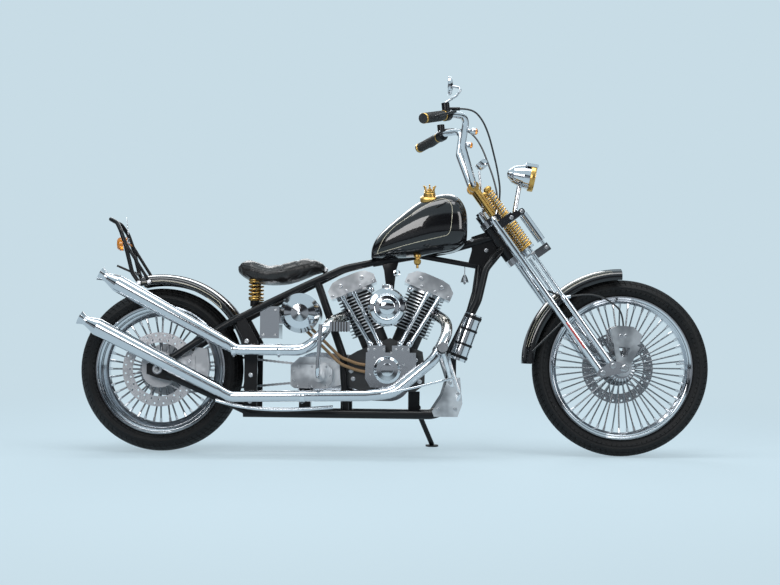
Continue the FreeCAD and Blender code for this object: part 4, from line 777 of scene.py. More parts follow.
treaded_tyre("rear_tyre", REAR_AXLE, outer=317.5, width=150, crown=90, flange=250, rim_width=124,
             rows=84, sweep=0.09, body="rear_wheel")
treaded_tyre("front_tyre", FRONT_AXLE, outer=345, width=95, crown=52, flange=279, rim_width=72,
             rows=96, sweep=0.06, body="front_wheel")

# %% [markdown]
# ## Wheel fittings
# Each spoke ends in a nipple that is screwed through the rim. The valve and the disc's screws are
# the other small parts that a wheel shows. Each spoke's two ends come from the same few sizes as in
# the solids, and one short taper is put at each end.

# %% Spoke nipples, valves and disc screws
LACE_R = 41
VALVE_ANGLE = 0.08
DISC_SCREWS = 6
DISC_SCREW_R = 33


def on_wheel(axle, angle, radius, y):
    return axle + Vector((radius * math.cos(angle), y, radius * math.sin(angle)))


def wheel_fittings(body, axle, spokes, lace, rim_end, valve_r, disc_y):
    bm = bmesh.new()
    for i in range(spokes):
        angle = 2 * math.pi * i / spokes
        side = 1 if i % 2 else -1
        inner = on_wheel(axle, angle, LACE_R, side * lace)
        outer = on_wheel(axle, angle, rim_end[0], side * rim_end[1])
        along = (outer - inner).normalized()
        bar(bm, outer - along * 19, outer - along * 2, 4.6, 5.6, 8)
        bar(bm, inner, inner + along * 11, 5.4, 4.4, 8)
    for top, bottom, radius in ((0, 34, 3.2), (18, 36, 4.2)):
        bar(bm, on_wheel(axle, VALVE_ANGLE, valve_r - top, 0),
            on_wheel(axle, VALVE_ANGLE, valve_r - bottom, 0),
            radius, sides=10)
    out = ACROSS * math.copysign(1, disc_y)
    for i in range(DISC_SCREWS):
        angle = 2 * math.pi * (i + 0.5) / DISC_SCREWS
        socket_bolt(bm, on_wheel(axle, angle, DISC_SCREW_R, disc_y), out, 5.5, 6)
    piece(bm, body + "_fittings", bright, body)


wheel_fittings("rear_wheel", REAR_AXLE, 40, lace=42.5, rim_end=(208.5, 14.9), valve_r=211, disc_y=-84)
wheel_fittings("front_wheel", FRONT_AXLE, 52, lace=36.5, rim_end=(254.5, 8.6), valve_r=257, disc_y=67)

# %% [markdown]
# ## Drive chain
# A roller chain is a row of short plates, inner and outer by turns, joined by rollers. One closed
# line goes round both sprockets, and a link is set at each step of 15.9 mm along it. A link is
# repeated a hundred times, so each plate is an eight-sided disc drawn out long.


# %% Chain links
def chain_loop(front, front_r, rear, rear_r, pitch):
    """Evenly spaced points round two circles, with the direction of the chain at each."""
    span = (front - rear).length
    lift = math.asin((rear_r - front_r) / span)
    straight = span * math.cos(lift)
    right = math.pi / 2
    runs = [(rear, rear_r, right - lift, rear_r * (math.pi + 2 * lift), 1 / rear_r),
            (rear, rear_r, 3 * right + lift, straight, 0),
            (front, front_r, lift - right, front_r * (math.pi - 2 * lift), 1 / front_r),
            (front, front_r, right - lift, straight, 0)]
    total = sum(run[3] for run in runs)
    count = round(total / pitch / 2) * 2
    points = []
    for n in range(count):
        walked = total * n / count
        for centre, radius, angle, length, curl in runs:
            if walked < length:
                break
            walked -= length
        angle += walked * curl
        outward = Vector((math.cos(angle), 0, math.sin(angle)))
        forward = Vector((-math.sin(angle), 0, math.cos(angle)))
        points.append(centre + outward * radius + forward * (0 if curl else walked))
    return points


CHAIN_Y = ACROSS * 94
bm = bmesh.new()
loop = chain_loop(Vector((600, 0, 300)) + CHAIN_Y, 37.6, REAR_AXLE + CHAIN_Y, 97.8, 15.875)
for n, (here, following) in enumerate(zip(loop, loop[1:] + loop[:1])):
    bar(bm, here - ACROSS * 4.6, here + ACROSS * 4.6, 3.4, sides=8)
    reach = 4.3 if n % 2 else 2.8
    along = (following - here).normalized()
    laid_flat = Matrix((along, along.cross(ACROSS), ACROSS)).transposed().to_4x4()
    for side in (-1, 1):
        middle = (here + following) / 2 + ACROSS * side * reach
        bmesh.ops.create_cone(bm, cap_ends=True, segments=8, radius1=5.2, radius2=5.2, depth=1.2,
                              matrix=Matrix.Translation(middle) @ laid_flat @ Matrix.Diagonal((2.25, 0.98,
                                                                                               1, 1)))
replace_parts(piece(bm, "chain_links", steel, "frame"), "drive_chain")
print("links", len(loop))

# %% [markdown]
# ## Coil springs
# The front end rides on four coil springs: two long ones under the perches and two short ones
# above, each closed by a ball-ended nut. Two barrel springs carry the saddle. All are one round
# wire section spun along its axis. A spring's end turns lie flat, so it stands squarely on its seat.

# %% Fork springs and ball nuts
SPRING_AHEAD = 69
SPRING_Y = 100
bm = bmesh.new()
for side in (-1, 1):
    foot, perch, seat, top = (fork(along, SPRING_AHEAD, side * SPRING_Y) for along in (560, 677, 709, 815))
    coil(bm, foot, perch, 22, 3.7, 11)
    coil(bm, seat, top, 17.5, 3.3, 10)
    turned(bm, [(0, 0), (16, 0), (17, 1.5), (17, 4), (15.5, 5.5), (10.5, 7.5), (10.5, 9.5), (14, 12),
                (16, 15.5),
                (16.5, 19), (15.5, 23), (12.5, 27), (7, 29.6), (0, 30)], top, FORK_UP, 32)
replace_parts(piece(bm, "fork_coils", gold, "steering", smooth=50), "fork_springs")

# %% Saddle springs
bm = bmesh.new()
for side in (-1, 1):
    foot = Vector((362, side * 75, 590))
    coil(bm, foot, foot + UP * 83, 24.5, 3.6, 6.5)
    turned(bm, [(0, -2), (20, -2), (21, -1), (21, 0.6), (0, 0.6)], foot, UP, 28)
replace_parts(piece(bm, "saddle_coils", gold, "frame", smooth=50), "seat_springs")

# %% [markdown]
# ## Saddle
# The saddle is a steel pan with thick foam under black leather. A welt runs round its edge and
# parts the top panel from the skirt, and three shallow tucks cross the top. The pad is lofted
# through twelve sections, made an even mesh, and blown up a little as cloth, so that the leather
# stretches over the foam. The tucks and the welt come after that, because the even mesh would erase
# them.

# %% The pad's sections
SADDLE = [(294, 702, 727, 56), (312, 688, 747, 94), (345, 670, 743, 120), (380, 662, 730, 132),
          (417, 659, 720, 136), (455, 660, 727, 134), (490, 664, 735, 128), (522, 673, 745, 113),
          (550, 684, 753, 95), (592, 702, 757, 71), (620, 709, 746, 49), (629, 714, 736, 34)]
SQUARENESS = 0.42
bm = bmesh.new()
rings = []
for x, low, high, half in SADDLE:
    centre = Vector((x, 0, (low + high) / 2))
    made = bmesh.ops.create_circle(bm, segments=32, radius=1,
                                   matrix=Matrix.Translation(centre) @ Matrix.Rotation(math.pi / 2, 4, "Y"))
    for vert in made["verts"]:
        _, y, z = vert.co - centre
        full = 1 / max(abs(y), abs(z), 0.001) ** SQUARENESS
        vert.co.y = y * full * half
        vert.co.z = centre.z + z * full * (high - low) / 2
    rings.append(made["verts"])
loft(bm, rings)
bmesh.ops.recalc_face_normals(bm, faces=bm.faces)
pad_mesh = meshed(bm, "saddle_pad")
pad_mesh.transform(STAND)
pad = shown("saddle_pad", pad_mesh, leather)


# %% Blow the pad up as cloth
def applied(obj):
    """Works the object's modifiers into its mesh."""
    graph = bpy.context.evaluated_depsgraph_get()
    graph.update()
    mesh = bpy.data.meshes.new_from_object(obj.evaluated_get(graph))
    obj.modifiers.clear()
    old = obj.data
    obj.data = mesh
    bpy.data.meshes.remove(old)


CLOTH_FRAMES = 20
MOST_SWELL = 0.006
even = pad.modifiers.new("even", "REMESH")
even.mode = "VOXEL"
even.voxel_size = 0.0055
applied(pad)
rest = [v.co.copy() for v in pad.data.vertices]
cloth = pad.modifiers.new("leather", "CLOTH")
cloth.settings.use_pressure = True
cloth.settings.uniform_pressure_force = 4
cloth.settings.effector_weights.gravity = 0
cloth.settings.tension_stiffness = 25
cloth.settings.compression_stiffness = 25
for number in range(1, CLOTH_FRAMES + 1):
    bpy.context.scene.frame_set(number)
applied(pad)
bpy.context.scene.frame_set(1)
for vert, was in zip(pad.data.vertices, rest):
    moved = vert.co - was
    vert.co = was + moved * min(1, MOST_SWELL / max(moved.length, 1e-9))
print("saddle points", len(rest))

# %% Tucks across the top
TUCKS = (452, 520, 575)
TUCK_DEPTH = 0.0042
TUCK_WIDTH = 7
shape = bmesh.new()
shape.from_mesh(pad.data)
bmesh.ops.smooth_vert(shape, verts=shape.verts, factor=0.5, use_axis_x=True, use_axis_y=True, use_axis_z=True)
shape.normal_update()
for vert in shape.verts:
    here = STAND_BACK @ vert.co
    top = max(0.0, min(1.0, (vert.normal.z - 0.35) / 0.3))
    sink = sum(math.exp(-((here.x - x - abs(here.y) * 0.12) / TUCK_WIDTH) ** 2) for x in TUCKS)
    vert.co -= vert.normal * (TUCK_DEPTH * sink * top)
shape.to_mesh(pad.data)
shape.free()
soft = pad.modifiers.new("soft", "SUBSURF")
soft.levels = soft.render_levels = 1
pad.data.polygons.foreach_set("use_smooth", [True] * len(pad.data.polygons))
pad.data.materials.clear()
pad.data.materials.append(leather.material)
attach(pad, "frame")
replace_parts(pad, "seat")


# %% The welt round the top panel
def ray_tree(mesh):
    """Search tree of a mesh, in upright millimetres."""
    return BVHTree.FromPolygons([STAND_BACK @ v.co for v in mesh.vertices],
                                [tuple(p.vertices) for p in mesh.polygons])


def welt_height(x):
    """Height of the welt on the side of the pad, between its sections."""
    share_up = 0.66
    for (x1, low1, high1, _), (x2, low2, high2, _) in zip(SADDLE, SADDLE[1:]):
        if x <= x2 or x2 == SADDLE[-1][0]:
            share = max(0.0, min(1.0, (x - x1) / (x2 - x1)))
            first = low1 + (high1 - low1) * share_up
            return first + (low2 + (high2 - low2) * share_up - first) * share


graph = bpy.context.evaluated_depsgraph_get()
graph.update()
stuffed = pad.evaluated_get(graph)
pad_tree = ray_tree(stuffed.to_mesh())
stuffed.to_mesh_clear()
WELT_POINTS = 96
WELT_SEARCHES = 5
line = []
for n in range(WELT_POINTS):
    angle = 2 * math.pi * n / WELT_POINTS
    inward = -Vector((math.cos(angle), math.sin(angle), 0))
    level = 720.0
    for _ in range(WELT_SEARCHES):
        point, normal = pad_tree.ray_cast(Vector((470, 0, level)) - inward * 420, inward)[:2]
        if point is None:
            break
        level = welt_height(point.x)
    if point is not None:
        line.append(point - normal * 0.6)
bm = bmesh.new()
tube(bm, line, 2.4, 8, closed=True)
piece(bm, "saddle_welt", leather, "frame")

# %% [markdown]
# ## Finding the surface under a detail
# Bolts, stripes and lamps sit on castings and sheet metal. A ray sent at a node's own mesh gives
# the exact point and the direction that the surface faces, so a detail never floats or sinks.

# %% Rays at a node's mesh
TREES = {}
BESIDE = 420


def surface(node, start, direction):
    """Where a ray, in upright millimetres, first meets a node, and the way that the surface faces."""
    if node not in TREES:
        TREES[node] = ray_tree(nodes[node].data)
    direction = Vector(direction).normalized()
    point, normal = TREES[node].ray_cast(Vector(start), direction)[:2]
    if point is None:
        return None, None
    return point, -normal if normal.dot(direction) > 0 else normal


def side_bolts(bm, node, places, side, across, height, round_head=False):
    """Bolts on the face of a node that is seen from one side, at each (x, z)."""
    out = ACROSS * side
    for x, z in places:
        point = surface(node, (x, side * BESIDE, z), -out)[0]
        if point is not None and round_head:
            socket_bolt(bm, point, out, across / 2, height)
        elif point is not None:
            bolt(bm, point, out, across, height)


def ring_of(x, z, radius, count, start=0.0):
    angles = [start + 2 * math.pi * n / count for n in range(count)]
    return [(x + radius * math.cos(angle), z + radius * math.sin(angle)) for angle in angles]


# %% [markdown]
# ## Pinstripes
# A sign painter's thin cream line edges the tank panel and the guards. The line is laid on the sheet
# metal as a fine raised bead of paint. Its outline is a few guide points on the side view, and each
# point of the smooth line through them is dropped on the surface with a ray.

# %% A painted line
def stripe(bm, node, outline, radius, side):
    line = []
    for p in smooth_line([(x, 0, z) for x, z in outline]):
        point, normal = surface(node, (p.x, side * BESIDE, p.z), ACROSS * -side)
        if point is not None:
            line.append(point - normal * (radius * 0.45))
    tube(bm, line, radius, 6)


# %% Lines on the tank and the guards
TANK_PANEL = [(834, 776), (834, 776), (857, 835), (900, 882), (947, 914), (1025, 969), (1072, 992),
              (1098, 992),
              (1118, 976), (1124, 950), (1122, 912), (1118, 868), (1108, 850), (1090, 844), (988, 821),
              (900, 796), (834, 776)]
GUARD_LEAF = [(-79, 650), (-20, 660), (40, 659), (110, 645), (170, 620), (215, 590), (232, 574), (236, 552),
              (215, 574), (175, 599), (112, 626)]
GUARD_LINES_R = (379, 371)
bm, front = bmesh.new(), bmesh.new()
for side in (-1, 1):
    stripe(bm, "fuel_tank", TANK_PANEL, 1.2, side)
    stripe(bm, "rear_fender", GUARD_LEAF, 1.3, side)
    for radius in GUARD_LINES_R:
        angles = [math.radians(a) for a in range(96, 174, 6)]
        stripe(front, "front_fender", [(FRONT_AXLE.x + radius * math.cos(a),
                                        FRONT_AXLE.z + radius * math.sin(a))
                                       for a in angles], 1.0, side)
piece(bm, "pinstripes", cream, "frame")
piece(front, "front_guard_lines", cream, "steering")

# %% [markdown]
# ## Engine hardware
# Bolts hold every cover. The rocker boxes have two large cap screws on each face, the timing cover
# a ring of small ones, and the pushrod tubes have collars. The air cleaner's dish has a rolled rim
# and a raised middle. Each group shares one mesh.


# %% Bolts of the engine's right side
def on_cylinder(axis, along, across):
    point = CRANK + axis * along + axis.cross(-ACROSS) * across
    return point.x, point.z


TIMING = (879, 326)
CLEANER = (876, 565)
FRONT_PLATE = [(1006, 282), (1010, 322), (990, 365)]
bm = bmesh.new()
for axis in CYLINDERS:
    for side in (-1, 1):
        side_bolts(bm, "rocker_covers", [on_cylinder(axis, 406, a) for a in (-42, 46)], side, 17, 5, True)
        side_bolts(bm, "rocker_covers", [on_cylinder(axis, 381, a) for a in (-84, -28, 28, 84)], side, 9, 4)
side_bolts(bm, "timing_cover", ring_of(*TIMING, 68, 6, 0.3), -1, 9, 4, True)
side_bolts(bm, "timing_cover", [(x, 404) for x in (830, 806, 866, 912, 960, 936)], -1, 8, 4)
side_bolts(bm, "gearbox", [(520, 280), (520, 318), (540, 335), (590, 335), (645, 335), (660, 300), (645, 262),
                           (590, 260), (535, 260)], -1, 9, 4, True)
side_bolts(bm, "crankcase", [(740, 320), (748, 290)] + FRONT_PLATE, -1, 13, 7)
side_bolts(bm, "air_cleaner", ring_of(*CLEANER, 40, 3, 0.5), -1, 7, 3, True)
piece(bm, "engine_bolts_right", bright, "frame")

# %% Collars, plugs and the dish's rings
PUSHROD_Y = -91
bm = bmesh.new()
for side, axis in zip((-1, 1), CYLINDERS):
    for foot_out, across in ((70, 52 * side), (34, 4 * side)):
        foot = Vector((CRANK.x + side * foot_out, PUSHROD_Y, 416))
        head_x, head_z = on_cylinder(axis, 370, across)
        head = Vector((head_x, PUSHROD_Y, head_z))
        run = (head - foot).normalized()
        turned(bm, [(8.4, 0), (12, 0), (12.6, 2), (12.6, 10), (11, 12), (10.4, 20), (8.4, 22)],
               foot + run * 4, run, 24)
        turned(bm, [(8.4, 0), (10.6, 1), (10.6, 8), (12.4, 10), (12.4, 17), (8.4, 17)], head - run * 22,
               run, 24)
PLUG = [(0, 0), (12, 0), (12, 4), (13.5, 6), (13.5, 16), (11, 20), (5, 22.5), (0, 23)]
DISHES = [
    (PLUG, (811, 638), -72, 28), (PLUG, (967, 640), -72, 28),
    ([(0, -1), (28, -1), (29.5, 0.5), (29.5, 3.5), (27, 5.5), (10, 7), (0, 7.4)], CLEANER, -208, 64),
    ([(44, -2), (46, 0), (48.5, 1.4), (51, 0), (53, -3)], CLEANER, -208.6, 72),
    ([(71, 0), (73, 0.6), (73.6, 3), (73, 6), (71, 7)], CLEANER, -182, 80),
    ([(50, 0), (52.6, 0.8), (53, 4), (52, 7), (50, 8)], TIMING, -110, 72),
    ([(0, 0), (24, 0), (25, 1.5), (24, 3), (12, 4), (0, 4.2)], TIMING, -125, 48),
]
for profile, (x, z), y, steps in DISHES:
    turned(bm, profile, Vector((x, y, z)), -ACROSS, steps)
BRACKET_RING = Vector((912, -16, 706))
turned(bm, [(9, -2), (13.5, -1), (13.5, 1), (9, 2), (9, -2)], BRACKET_RING, ACROSS, 36)
bar(bm, BRACKET_RING, (906, 0, 700), 3)
turned(bm, [(0, 0), (17, 0), (20, 3), (20, 14), (16, 18), (0, 18.5)], Vector((876, -178, 634)), UP, 36)
piece(bm, "engine_brightwork", chrome, "frame")


# %% Engine bracket, oil can bands and the brass tap
def slab(bm, outline, low, high):
    """Plate with rounded edges from its (x, z) outline and its two faces across."""
    verts = [bm.verts.new((x, low, z)) for x, z in outline]
    grown = bmesh.ops.extrude_face_region(bm, geom=[bm.faces.new(verts)])["geom"]
    top = [g for g in grown if isinstance(g, bmesh.types.BMVert)]
    bmesh.ops.translate(bm, vec=ACROSS * (high - low), verts=top)
    edges = {e for v in verts + top for e in v.link_edges}
    bmesh.ops.bevel(bm, geom=list(edges), offset=1.5, segments=2, affect="EDGES", profile=0.5, material=-1)


CAN_FOOT = Vector((1147, -172, 366))
CAN_UP = (Vector((1208, -172, 541)) - CAN_FOOT).normalized()
CAN_R = 32.6
bm = bmesh.new()
slab(bm, [(842, 776), (926, 778), (910, 716), (902, 640), (872, 640), (862, 716)], -9, 9)
for low, high, thick in ((10, 22, 1.4), (60, 70, 1.8), (118, 128, 1.8), (166, 180, 1.4)):
    wide, outer = high - low, CAN_R + 0.4 + thick
    turned(bm, [(CAN_R, 0), (outer, 0.6), (outer, wide - 0.6), (CAN_R, wide)], CAN_FOOT + CAN_UP * low,
           CAN_UP)
piece(bm, "black_bands", satin_black, "frame")

bm = bmesh.new()
tap = surface("fuel_tank", (992, -52, 500), UP)[0]
turned(bm, [(0, 4), (15, 4), (15, -4), (10, -7), (10, -14), (14, -16), (14, -27), (11, -33), (5, -36),
            (5, -48),
            (0, -48)], tap, UP, 32)
bar(bm, tap - UP * 21, tap + Vector((0, -24, -21)), 4.5)
bar(bm, tap + Vector((-14, -22, -21)), tap + Vector((12, -22, -21)), 3.4, 2.4)
piece(bm, "fuel_tap", gold, "frame")

# %% Bolts and lids of the left side
CLUTCH = (600, 300)
DRIVE = (CRANK.x, CRANK.z)
bm = bmesh.new()
side_bolts(bm, "primary_cover", ring_of(*CLUTCH, 82, 7, 1.2)[:5] + ring_of(*DRIVE, 75, 7, -1.6)[1:6], 1,
           9, 4, True)
side_bolts(bm, "primary_cover", ring_of(*CLUTCH, 48, 5), 1, 8, 3, True)
side_bolts(bm, "crankcase", [(740, 340)] + FRONT_PLATE, 1, 13, 7)
piece(bm, "engine_bolts_left", bright, "frame")
bm = bmesh.new()
for profile, (x, z), steps in (
        ([(0, 3.4), (54, 3.0), (57, 2), (58.5, 0), (58.5, -2)], CLUTCH, 72),
        ([(26, 3.1), (28, 4.6), (30, 3.0)], CLUTCH, 60),
        ([(0, 3.0), (34, 2.6), (36.5, 1.6), (38, -2)], DRIVE, 60)):
    turned(bm, profile, surface("primary_cover", (x, BESIDE, z), -ACROSS)[0], ACROSS, steps)
piece(bm, "clutch_lid", chrome, "frame")

# %% [markdown]
# ## Frame hardware
# The frame carries bolts at the seat pivot, the plates and the mounts, nuts at the rear axle and a
# small hanging bell. These are zinc or steel, as on the real frame.

# %% Frame bolts
SEAT_PIVOT = Vector((634, 0, 716))
bm = bmesh.new()
bar(bm, SEAT_PIVOT - ACROSS * 17, SEAT_PIVOT + ACROSS * 17, 6)
for side in (-1, 1):
    bolt(bm, SEAT_PIVOT + ACROSS * side * 17, ACROSS * side, 12, 6)
    side_bolts(bm, "rear_stays", [(352, 512), (356, 200), (357, 300), (340, 430)], side, 13, 7)
    side_bolts(bm, "frame_cradle", [(1244, 812), (1128, 300)], side, 13, 6)
    bar(bm, REAR_AXLE + ACROSS * side * 156, REAR_AXLE + ACROSS * side * 150, 16, sides=6)
    side_bolts(bm, "frame_backbone", [(1206, 838), (1262, 800)], side, 12, 6)
    side_bolts(bm, "oil_tank", [(400, 456), (446, 456), (400, 552), (446, 552)], side, 8, 4)
piece(bm, "frame_bolts", bright, "frame")

# %% The hanging bell
bm = bmesh.new()
below = (1179, 0, 500)
hang = surface("frame_cradle", below, UP)[0] or surface("frame_backbone", below, UP)[0]
turned(bm, [(0, -30), (4, -31), (8, -37), (12, -47), (15, -58), (17, -61), (15, -61), (0, -58)], hang, UP, 28)
bar(bm, hang + UP * 3, hang - UP * 32, 1.6, sides=8)
turned(bm, [(0, -57), (4, -60), (5, -65), (3, -69), (0, -70)], hang, UP, 16)
piece(bm, "guardian_bell", steel, "frame")

# %% [markdown]
# ## Lamps, mirror and gauge
# The headlamp is a chrome bullet with a brass bezel and a short peak over clear glass. The mirror
# is a flat glass in a chrome cup. A small gauge stands on a stem behind the fork, and a small amber
# turn signal sits under each switch. All are turned about their own axes.

# %% Headlamp bezel and peak
AIM = Vector((1, 0, -0.18)).normalized()
LAMP = Vector((1436, 0, 1089))
PEAK_FROM = 39
bm = bmesh.new()
turned(bm, [(46, -6), (52.5, -6), (54, -4), (54, 12), (52.6, 14.5), (47, 15), (43, 12.5), (42, 9)], LAMP,
       AIM, 72)
piece(bm, "headlamp_bezel", gold, "steering")
bm = bmesh.new()
turned(bm, [(54.2, -30), (55.6, -29), (55.6, 15), (55.4, 20), (54.2, 20)], LAMP, AIM, 96)
lamp_up = AIM.cross(ACROSS)
bmesh.ops.bisect_plane(bm, geom=bm.verts[:] + bm.edges[:] + bm.faces[:], dist=0.001,
                       plane_co=LAMP + lamp_up * PEAK_FROM, plane_no=lamp_up, clear_inner=True)
bmesh.ops.solidify(bm, geom=bm.faces[:], thickness=0.4)
piece(bm, "headlamp_peak", chrome, "steering")

# %% Mirror glass, gauge and turn signals
bm = bmesh.new()
cup, cup_out = surface("mirror", (900, -258, 1404), FORWARD)
turned(bm, [(0, 0.5), (31.5, 0.5), (32.5, 0.2), (33, -0.6)], cup, cup_out, 56)
piece(bm, "mirror_face", mirror_glass, "steering")

GAUGE = Vector((1244, -30, 1132))
GAUGE_UP = Vector((-0.64, 0, 0.77))
SIGNAL_AIM = Vector((1, 0, -0.1))
bm, lenses = bmesh.new(), bmesh.new()
for r in (33.4, 35.0):
    turned(bm, [(r - 0.9, -0.4), (r, 1.1), (r + 0.8, -0.4)], cup, cup_out, 56)
bar(bm, fork(760, 4, -30), GAUGE - Vector((14, 0, 24)), 4.2)
turned(bm, [(0, -12), (14, -12), (20, -10), (24, -5), (25, 0), (25, 12), (26, 13), (26, 17), (24, 18.5),
            (22, 18)],
       GAUGE, GAUGE_UP, 48)
for side in (-1, 1):
    bar(bm, (1163, side * 176, 1256), (1188, side * 186, 1244), 4)
    turned(bm, [(0, 0), (6, 1), (11, 5), (13, 11), (13.5, 20), (12.5, 22)], Vector((1184, side * 186, 1244)),
           SIGNAL_AIM, 32)
    turned(lenses, [(12.6, -2), (12.6, 2), (11, 6), (6, 8.6), (0, 9.4)], Vector((1206, side * 186, 1242)),
           SIGNAL_AIM, 32)
piece(bm, "gauge_and_signal_cups", chrome, "steering")
piece(lenses, "turn_signal_lenses", amber, "steering")

# %% Gauge dial, marks and needle
MARKS = 11
bm = bmesh.new()
turned(bm, [(0, 17), (22.2, 17), (22.4, 15)], GAUGE, GAUGE_UP, 48)
piece(bm, "gauge_dial", satin_black, "steering")
bm = bmesh.new()
dial_side = GAUGE_UP.cross(ACROSS).normalized()
face = GAUGE + GAUGE_UP * 17.2
for n in range(MARKS):
    angle = math.radians(-130 + 26 * n)
    out = dial_side * math.cos(angle) + ACROSS * math.sin(angle)
    bar(bm, face + out * 16, face + out * 20.5, 0.55, sides=6)
needle = GAUGE + GAUGE_UP * 17.5
bar(bm, needle, needle + dial_side * 15, 0.9, 0.3, sides=8)
piece(bm, "gauge_marks", cream, "steering")

# %% [markdown]
# ## Controls at the bar
# Each grip is ribbed black rubber with a brass ring at each end. Inboard sits a switch block, which
# gets a band, two small knobs and two cap screws. The ribs are raised rings along the grip's axis,
# which runs from the end of the bar to its first bend.

# %% Grips, rings and switches
RIBS = 16
RIB_STEP = 6.6
KNOB_WAY = Vector((-1, 0, 0.55))
ribbed, brass, bands, knobs = (bmesh.new() for _ in range(4))
for side in (-1, 1):
    end = Vector((1002, side * 395, 1257))
    bend = Vector((1110, side * 240, 1298))
    run = (bend - end).normalized()
    length = (bend - end).length
    for n in range(RIBS):
        turned(ribbed, [(18, 0), (19.6, 0.9), (19.9, 2.2), (19.6, 3.5), (18, 4.4)],
               end + run * (14 + n * RIB_STEP), run, 28)
    turned(brass, [(0, 1.5), (8, 1.2), (8.5, 0.3), (18.9, 0), (20, 1.5), (20, 8), (18.6, 9.5)], end - run,
           run, 40)
    turned(brass, [(18.4, 0), (19.8, 0.6), (19.8, 4.2), (18.4, 5)], end + run * (0.70 * length), run, 40)
    at = end + run * (0.82 * length)
    turned(bands, [(20.5, 0), (22.4, 1), (22.4, 25), (20.5, 26)], at - run * 13, run, 36)
    for shift, size in ((-6, 3.6), (5, 3.0)):
        turned(knobs, [(0, 3.6), (size, 3), (size + 0.6, 0), (size + 0.6, -2)],
               at + run * shift + Vector((-19, 0, 12)), KNOB_WAY, 16)
    for shift in (-1, 1):
        socket_bolt(knobs, at + run * 8 + run.cross(UP).normalized() * shift * 16 + UP * 14, UP, 3.4, 4)
piece(ribbed, "grip_ribs", rubber, "steering")
piece(brass, "grip_rings", gold, "steering")
piece(bands, "switch_bands", satin_black, "steering")
piece(knobs, "switch_buttons", bright, "steering")

# %% [markdown]
# ## Fork and front wheel hardware
# Nuts close the rocker pivots, and pinch bolts hold the crowns, the bar clamps and the caliper. A
# red reflector strip is stuck on each rigid leg.

# %% Nuts and bolts of the front end, and the reflector strips
FORK_BOLTS = [  # along and ahead on the fork, out to the side, across the flats, height
    (0, 20, 130, 17, 8), (0, 69, 130, 17, 8), (690, 81, 112, 13, 6), (528, 69, 113, 12, 6),
    (548, 28, 100.5, 11, 5), (726, 28, 100.5, 11, 5), (690, 138, 28, 12, 5), (519, 138, 14, 12, 5),
]
bm, strips = bmesh.new(), bmesh.new()
for side in (-1, 1):
    out = ACROSS * side
    for along, ahead, y, across, height in FORK_BOLTS:
        bolt(bm, fork(along, ahead, side * y), out, across, height)
    bolt(bm, FRONT_AXLE + out * 134, out, 22, 9)
    socket_bolt(bm, Vector((1208, side * 64, 1046)), out, 6, 4)
    bar(strips, fork(116, 20, side * 113.6), fork(238, 20, side * 113.6), 4.2, sides=10)
side_bolts(bm, "front_caliper", [(1772, 512), (1826, 508), (1800, 470), (1780, 470)], -1, 11, 6)
piece(bm, "fork_bolts", bright, "steering")
piece(strips, "reflector_strips", red, "steering")

# %% [markdown]
# ## Rear end, pedals and cap
# Ribbed rubbers on the pegs and the kick pedal, the ornate filler cap, the tail lamp's bezel with a
# thin rod above it, and the exhaust clamps finish the motorcycle. The cap is a small turned crown
# with beaded posts, a generic ornament.

# %% Pegs and pedals
bm = bmesh.new()
for side in (-1, 1):
    for n in range(9):
        turned(bm, [(18.6, 0), (20.6, 1.0), (20.6, 4.6), (18.6, 5.6)],
               Vector((1085, side * (262 + n * 9), 409)), ACROSS * side, 28)
for n in range(6):
    made = bmesh.ops.create_cube(bm, size=1, matrix=Matrix.Translation((674 + n * 10.4, -268, 486))
                                 @ Matrix.Diagonal((5.2, 38.4, 38.4, 1)))
    bmesh.ops.bevel(bm, geom=list({e for v in made["verts"] for e in v.link_edges}), offset=1.6, segments=2,
                    affect="EDGES", profile=0.5, material=-1)
piece(bm, "peg_rubbers", rubber, "frame")

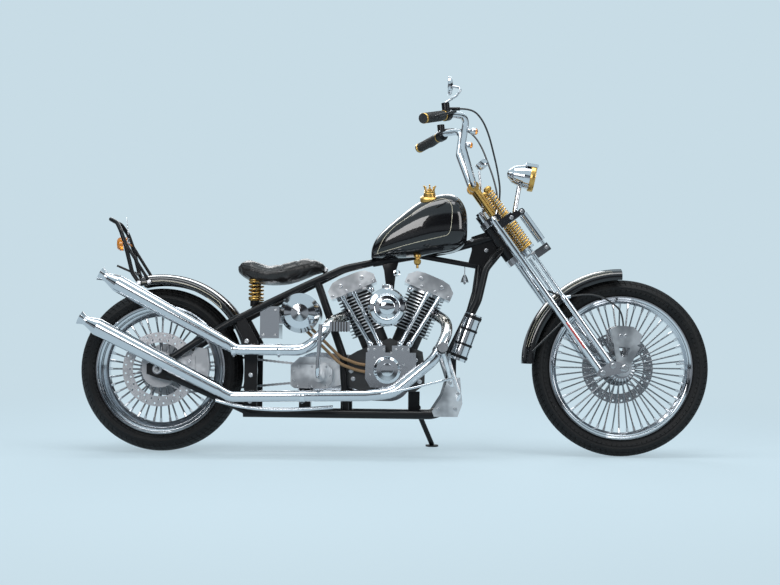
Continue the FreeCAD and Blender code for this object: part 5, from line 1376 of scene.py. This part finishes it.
# %% Filler cap crown
POSTS = 8
cap_axis = Vector((0, -0.3, 1)).normalized()
cap_at = surface("tank_cap", Vector((1036, -52, 976)) + cap_axis * 120, -cap_axis)[0]
base = cap_at - cap_axis * 8
side_dir = cap_axis.cross(FORWARD).normalized()
fore_dir = side_dir.cross(cap_axis).normalized()
bm = bmesh.new()
for n in range(POSTS):
    angle = 2 * math.pi * n / POSTS
    out = fore_dir * math.cos(angle) + side_dir * math.sin(angle)
    foot = base + out * 15
    head = foot + out * 7 + cap_axis * (17 if n % 2 else 23)
    bar(bm, foot, head, 2.6, 1.8, sides=10)
    bmesh.ops.create_uvsphere(bm, u_segments=14, v_segments=9, radius=3.6, matrix=Matrix.Translation(head))
turned(bm, [(0, 11), (6, 10), (9, 6), (9, 3), (19, 2.5), (21, 0), (20, -4), (16, -5)], base + cap_axis * 5,
       cap_axis, 36)
piece(bm, "cap_crown", gold, "frame")

# %% Tail lamp bezel, and bolts of the rear end
bm = bmesh.new()
turned(bm, [(26.6, 2), (28.6, 3), (28.6, 9), (27.4, 11), (26.6, 11)], Vector((-150, 0, 808)), -FORWARD)
turned(bm, [(0, -1), (20, -1), (24, -5), (25, -9)], Vector((-151, 0, 808)), -FORWARD)
bar(bm, (-142, -20, 842), (-150, -20, 912), 1.6, 0.8)
piece(bm, "lamp_bezel", chrome, "frame")
bm = bmesh.new()
side_bolts(bm, "rear_caliper", [(118, 350), (126, 300), (30, 300), (100, 325)], -1, 11, 6)
for side in (-1, 1):
    side_bolts(bm, "sissy_bar", [(-84, 650), (-44, 655)], side, 12, 6)
    side_bolts(bm, "foot_controls", [(1076, 180), (1140, 180), (1150, 240), (1120, 280)], side, 11, 6)
piece(bm, "rear_bolts", bright, "frame")

# %% Clamps and slim tubes along the exhausts
bm = bmesh.new()
for at, axis in (((470, -228, 396), FORWARD), ((560, -228, 223), Vector((1, 0, 0.02))),
                 ((300, -228, 396), FORWARD)):
    turned(bm, [(20.8, -9), (23, -8.5), (23.4, -7), (22.6, -5), (22.6, 5), (23.4, 7), (23, 8.5), (20.8, 9)],
           Vector(at), axis, 40)
    bolt(bm, Vector(at) + Vector((0, 6, -24)), -ACROSS, 8, 12, washer=False)
for points, radius in (([(231, -196, 204), (300, -198, 184), (420, -198, 170), (560, -198, 172),
                         (676, -198, 183)], 7),
                       ([(858, -252, 234), (940, -254, 250), (1040, -254, 276), (1128, -250, 298)], 4.5)):
    tube(bm, smooth_line(points), radius, 12)
piece(bm, "exhaust_clamps", chrome, "frame")

# %% [markdown]
# ## The box round the motorcycle
# The box round the dressed motorcycle is printed.

# %% Print the box
low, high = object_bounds()
print("visual box", tuple(low), tuple(high))
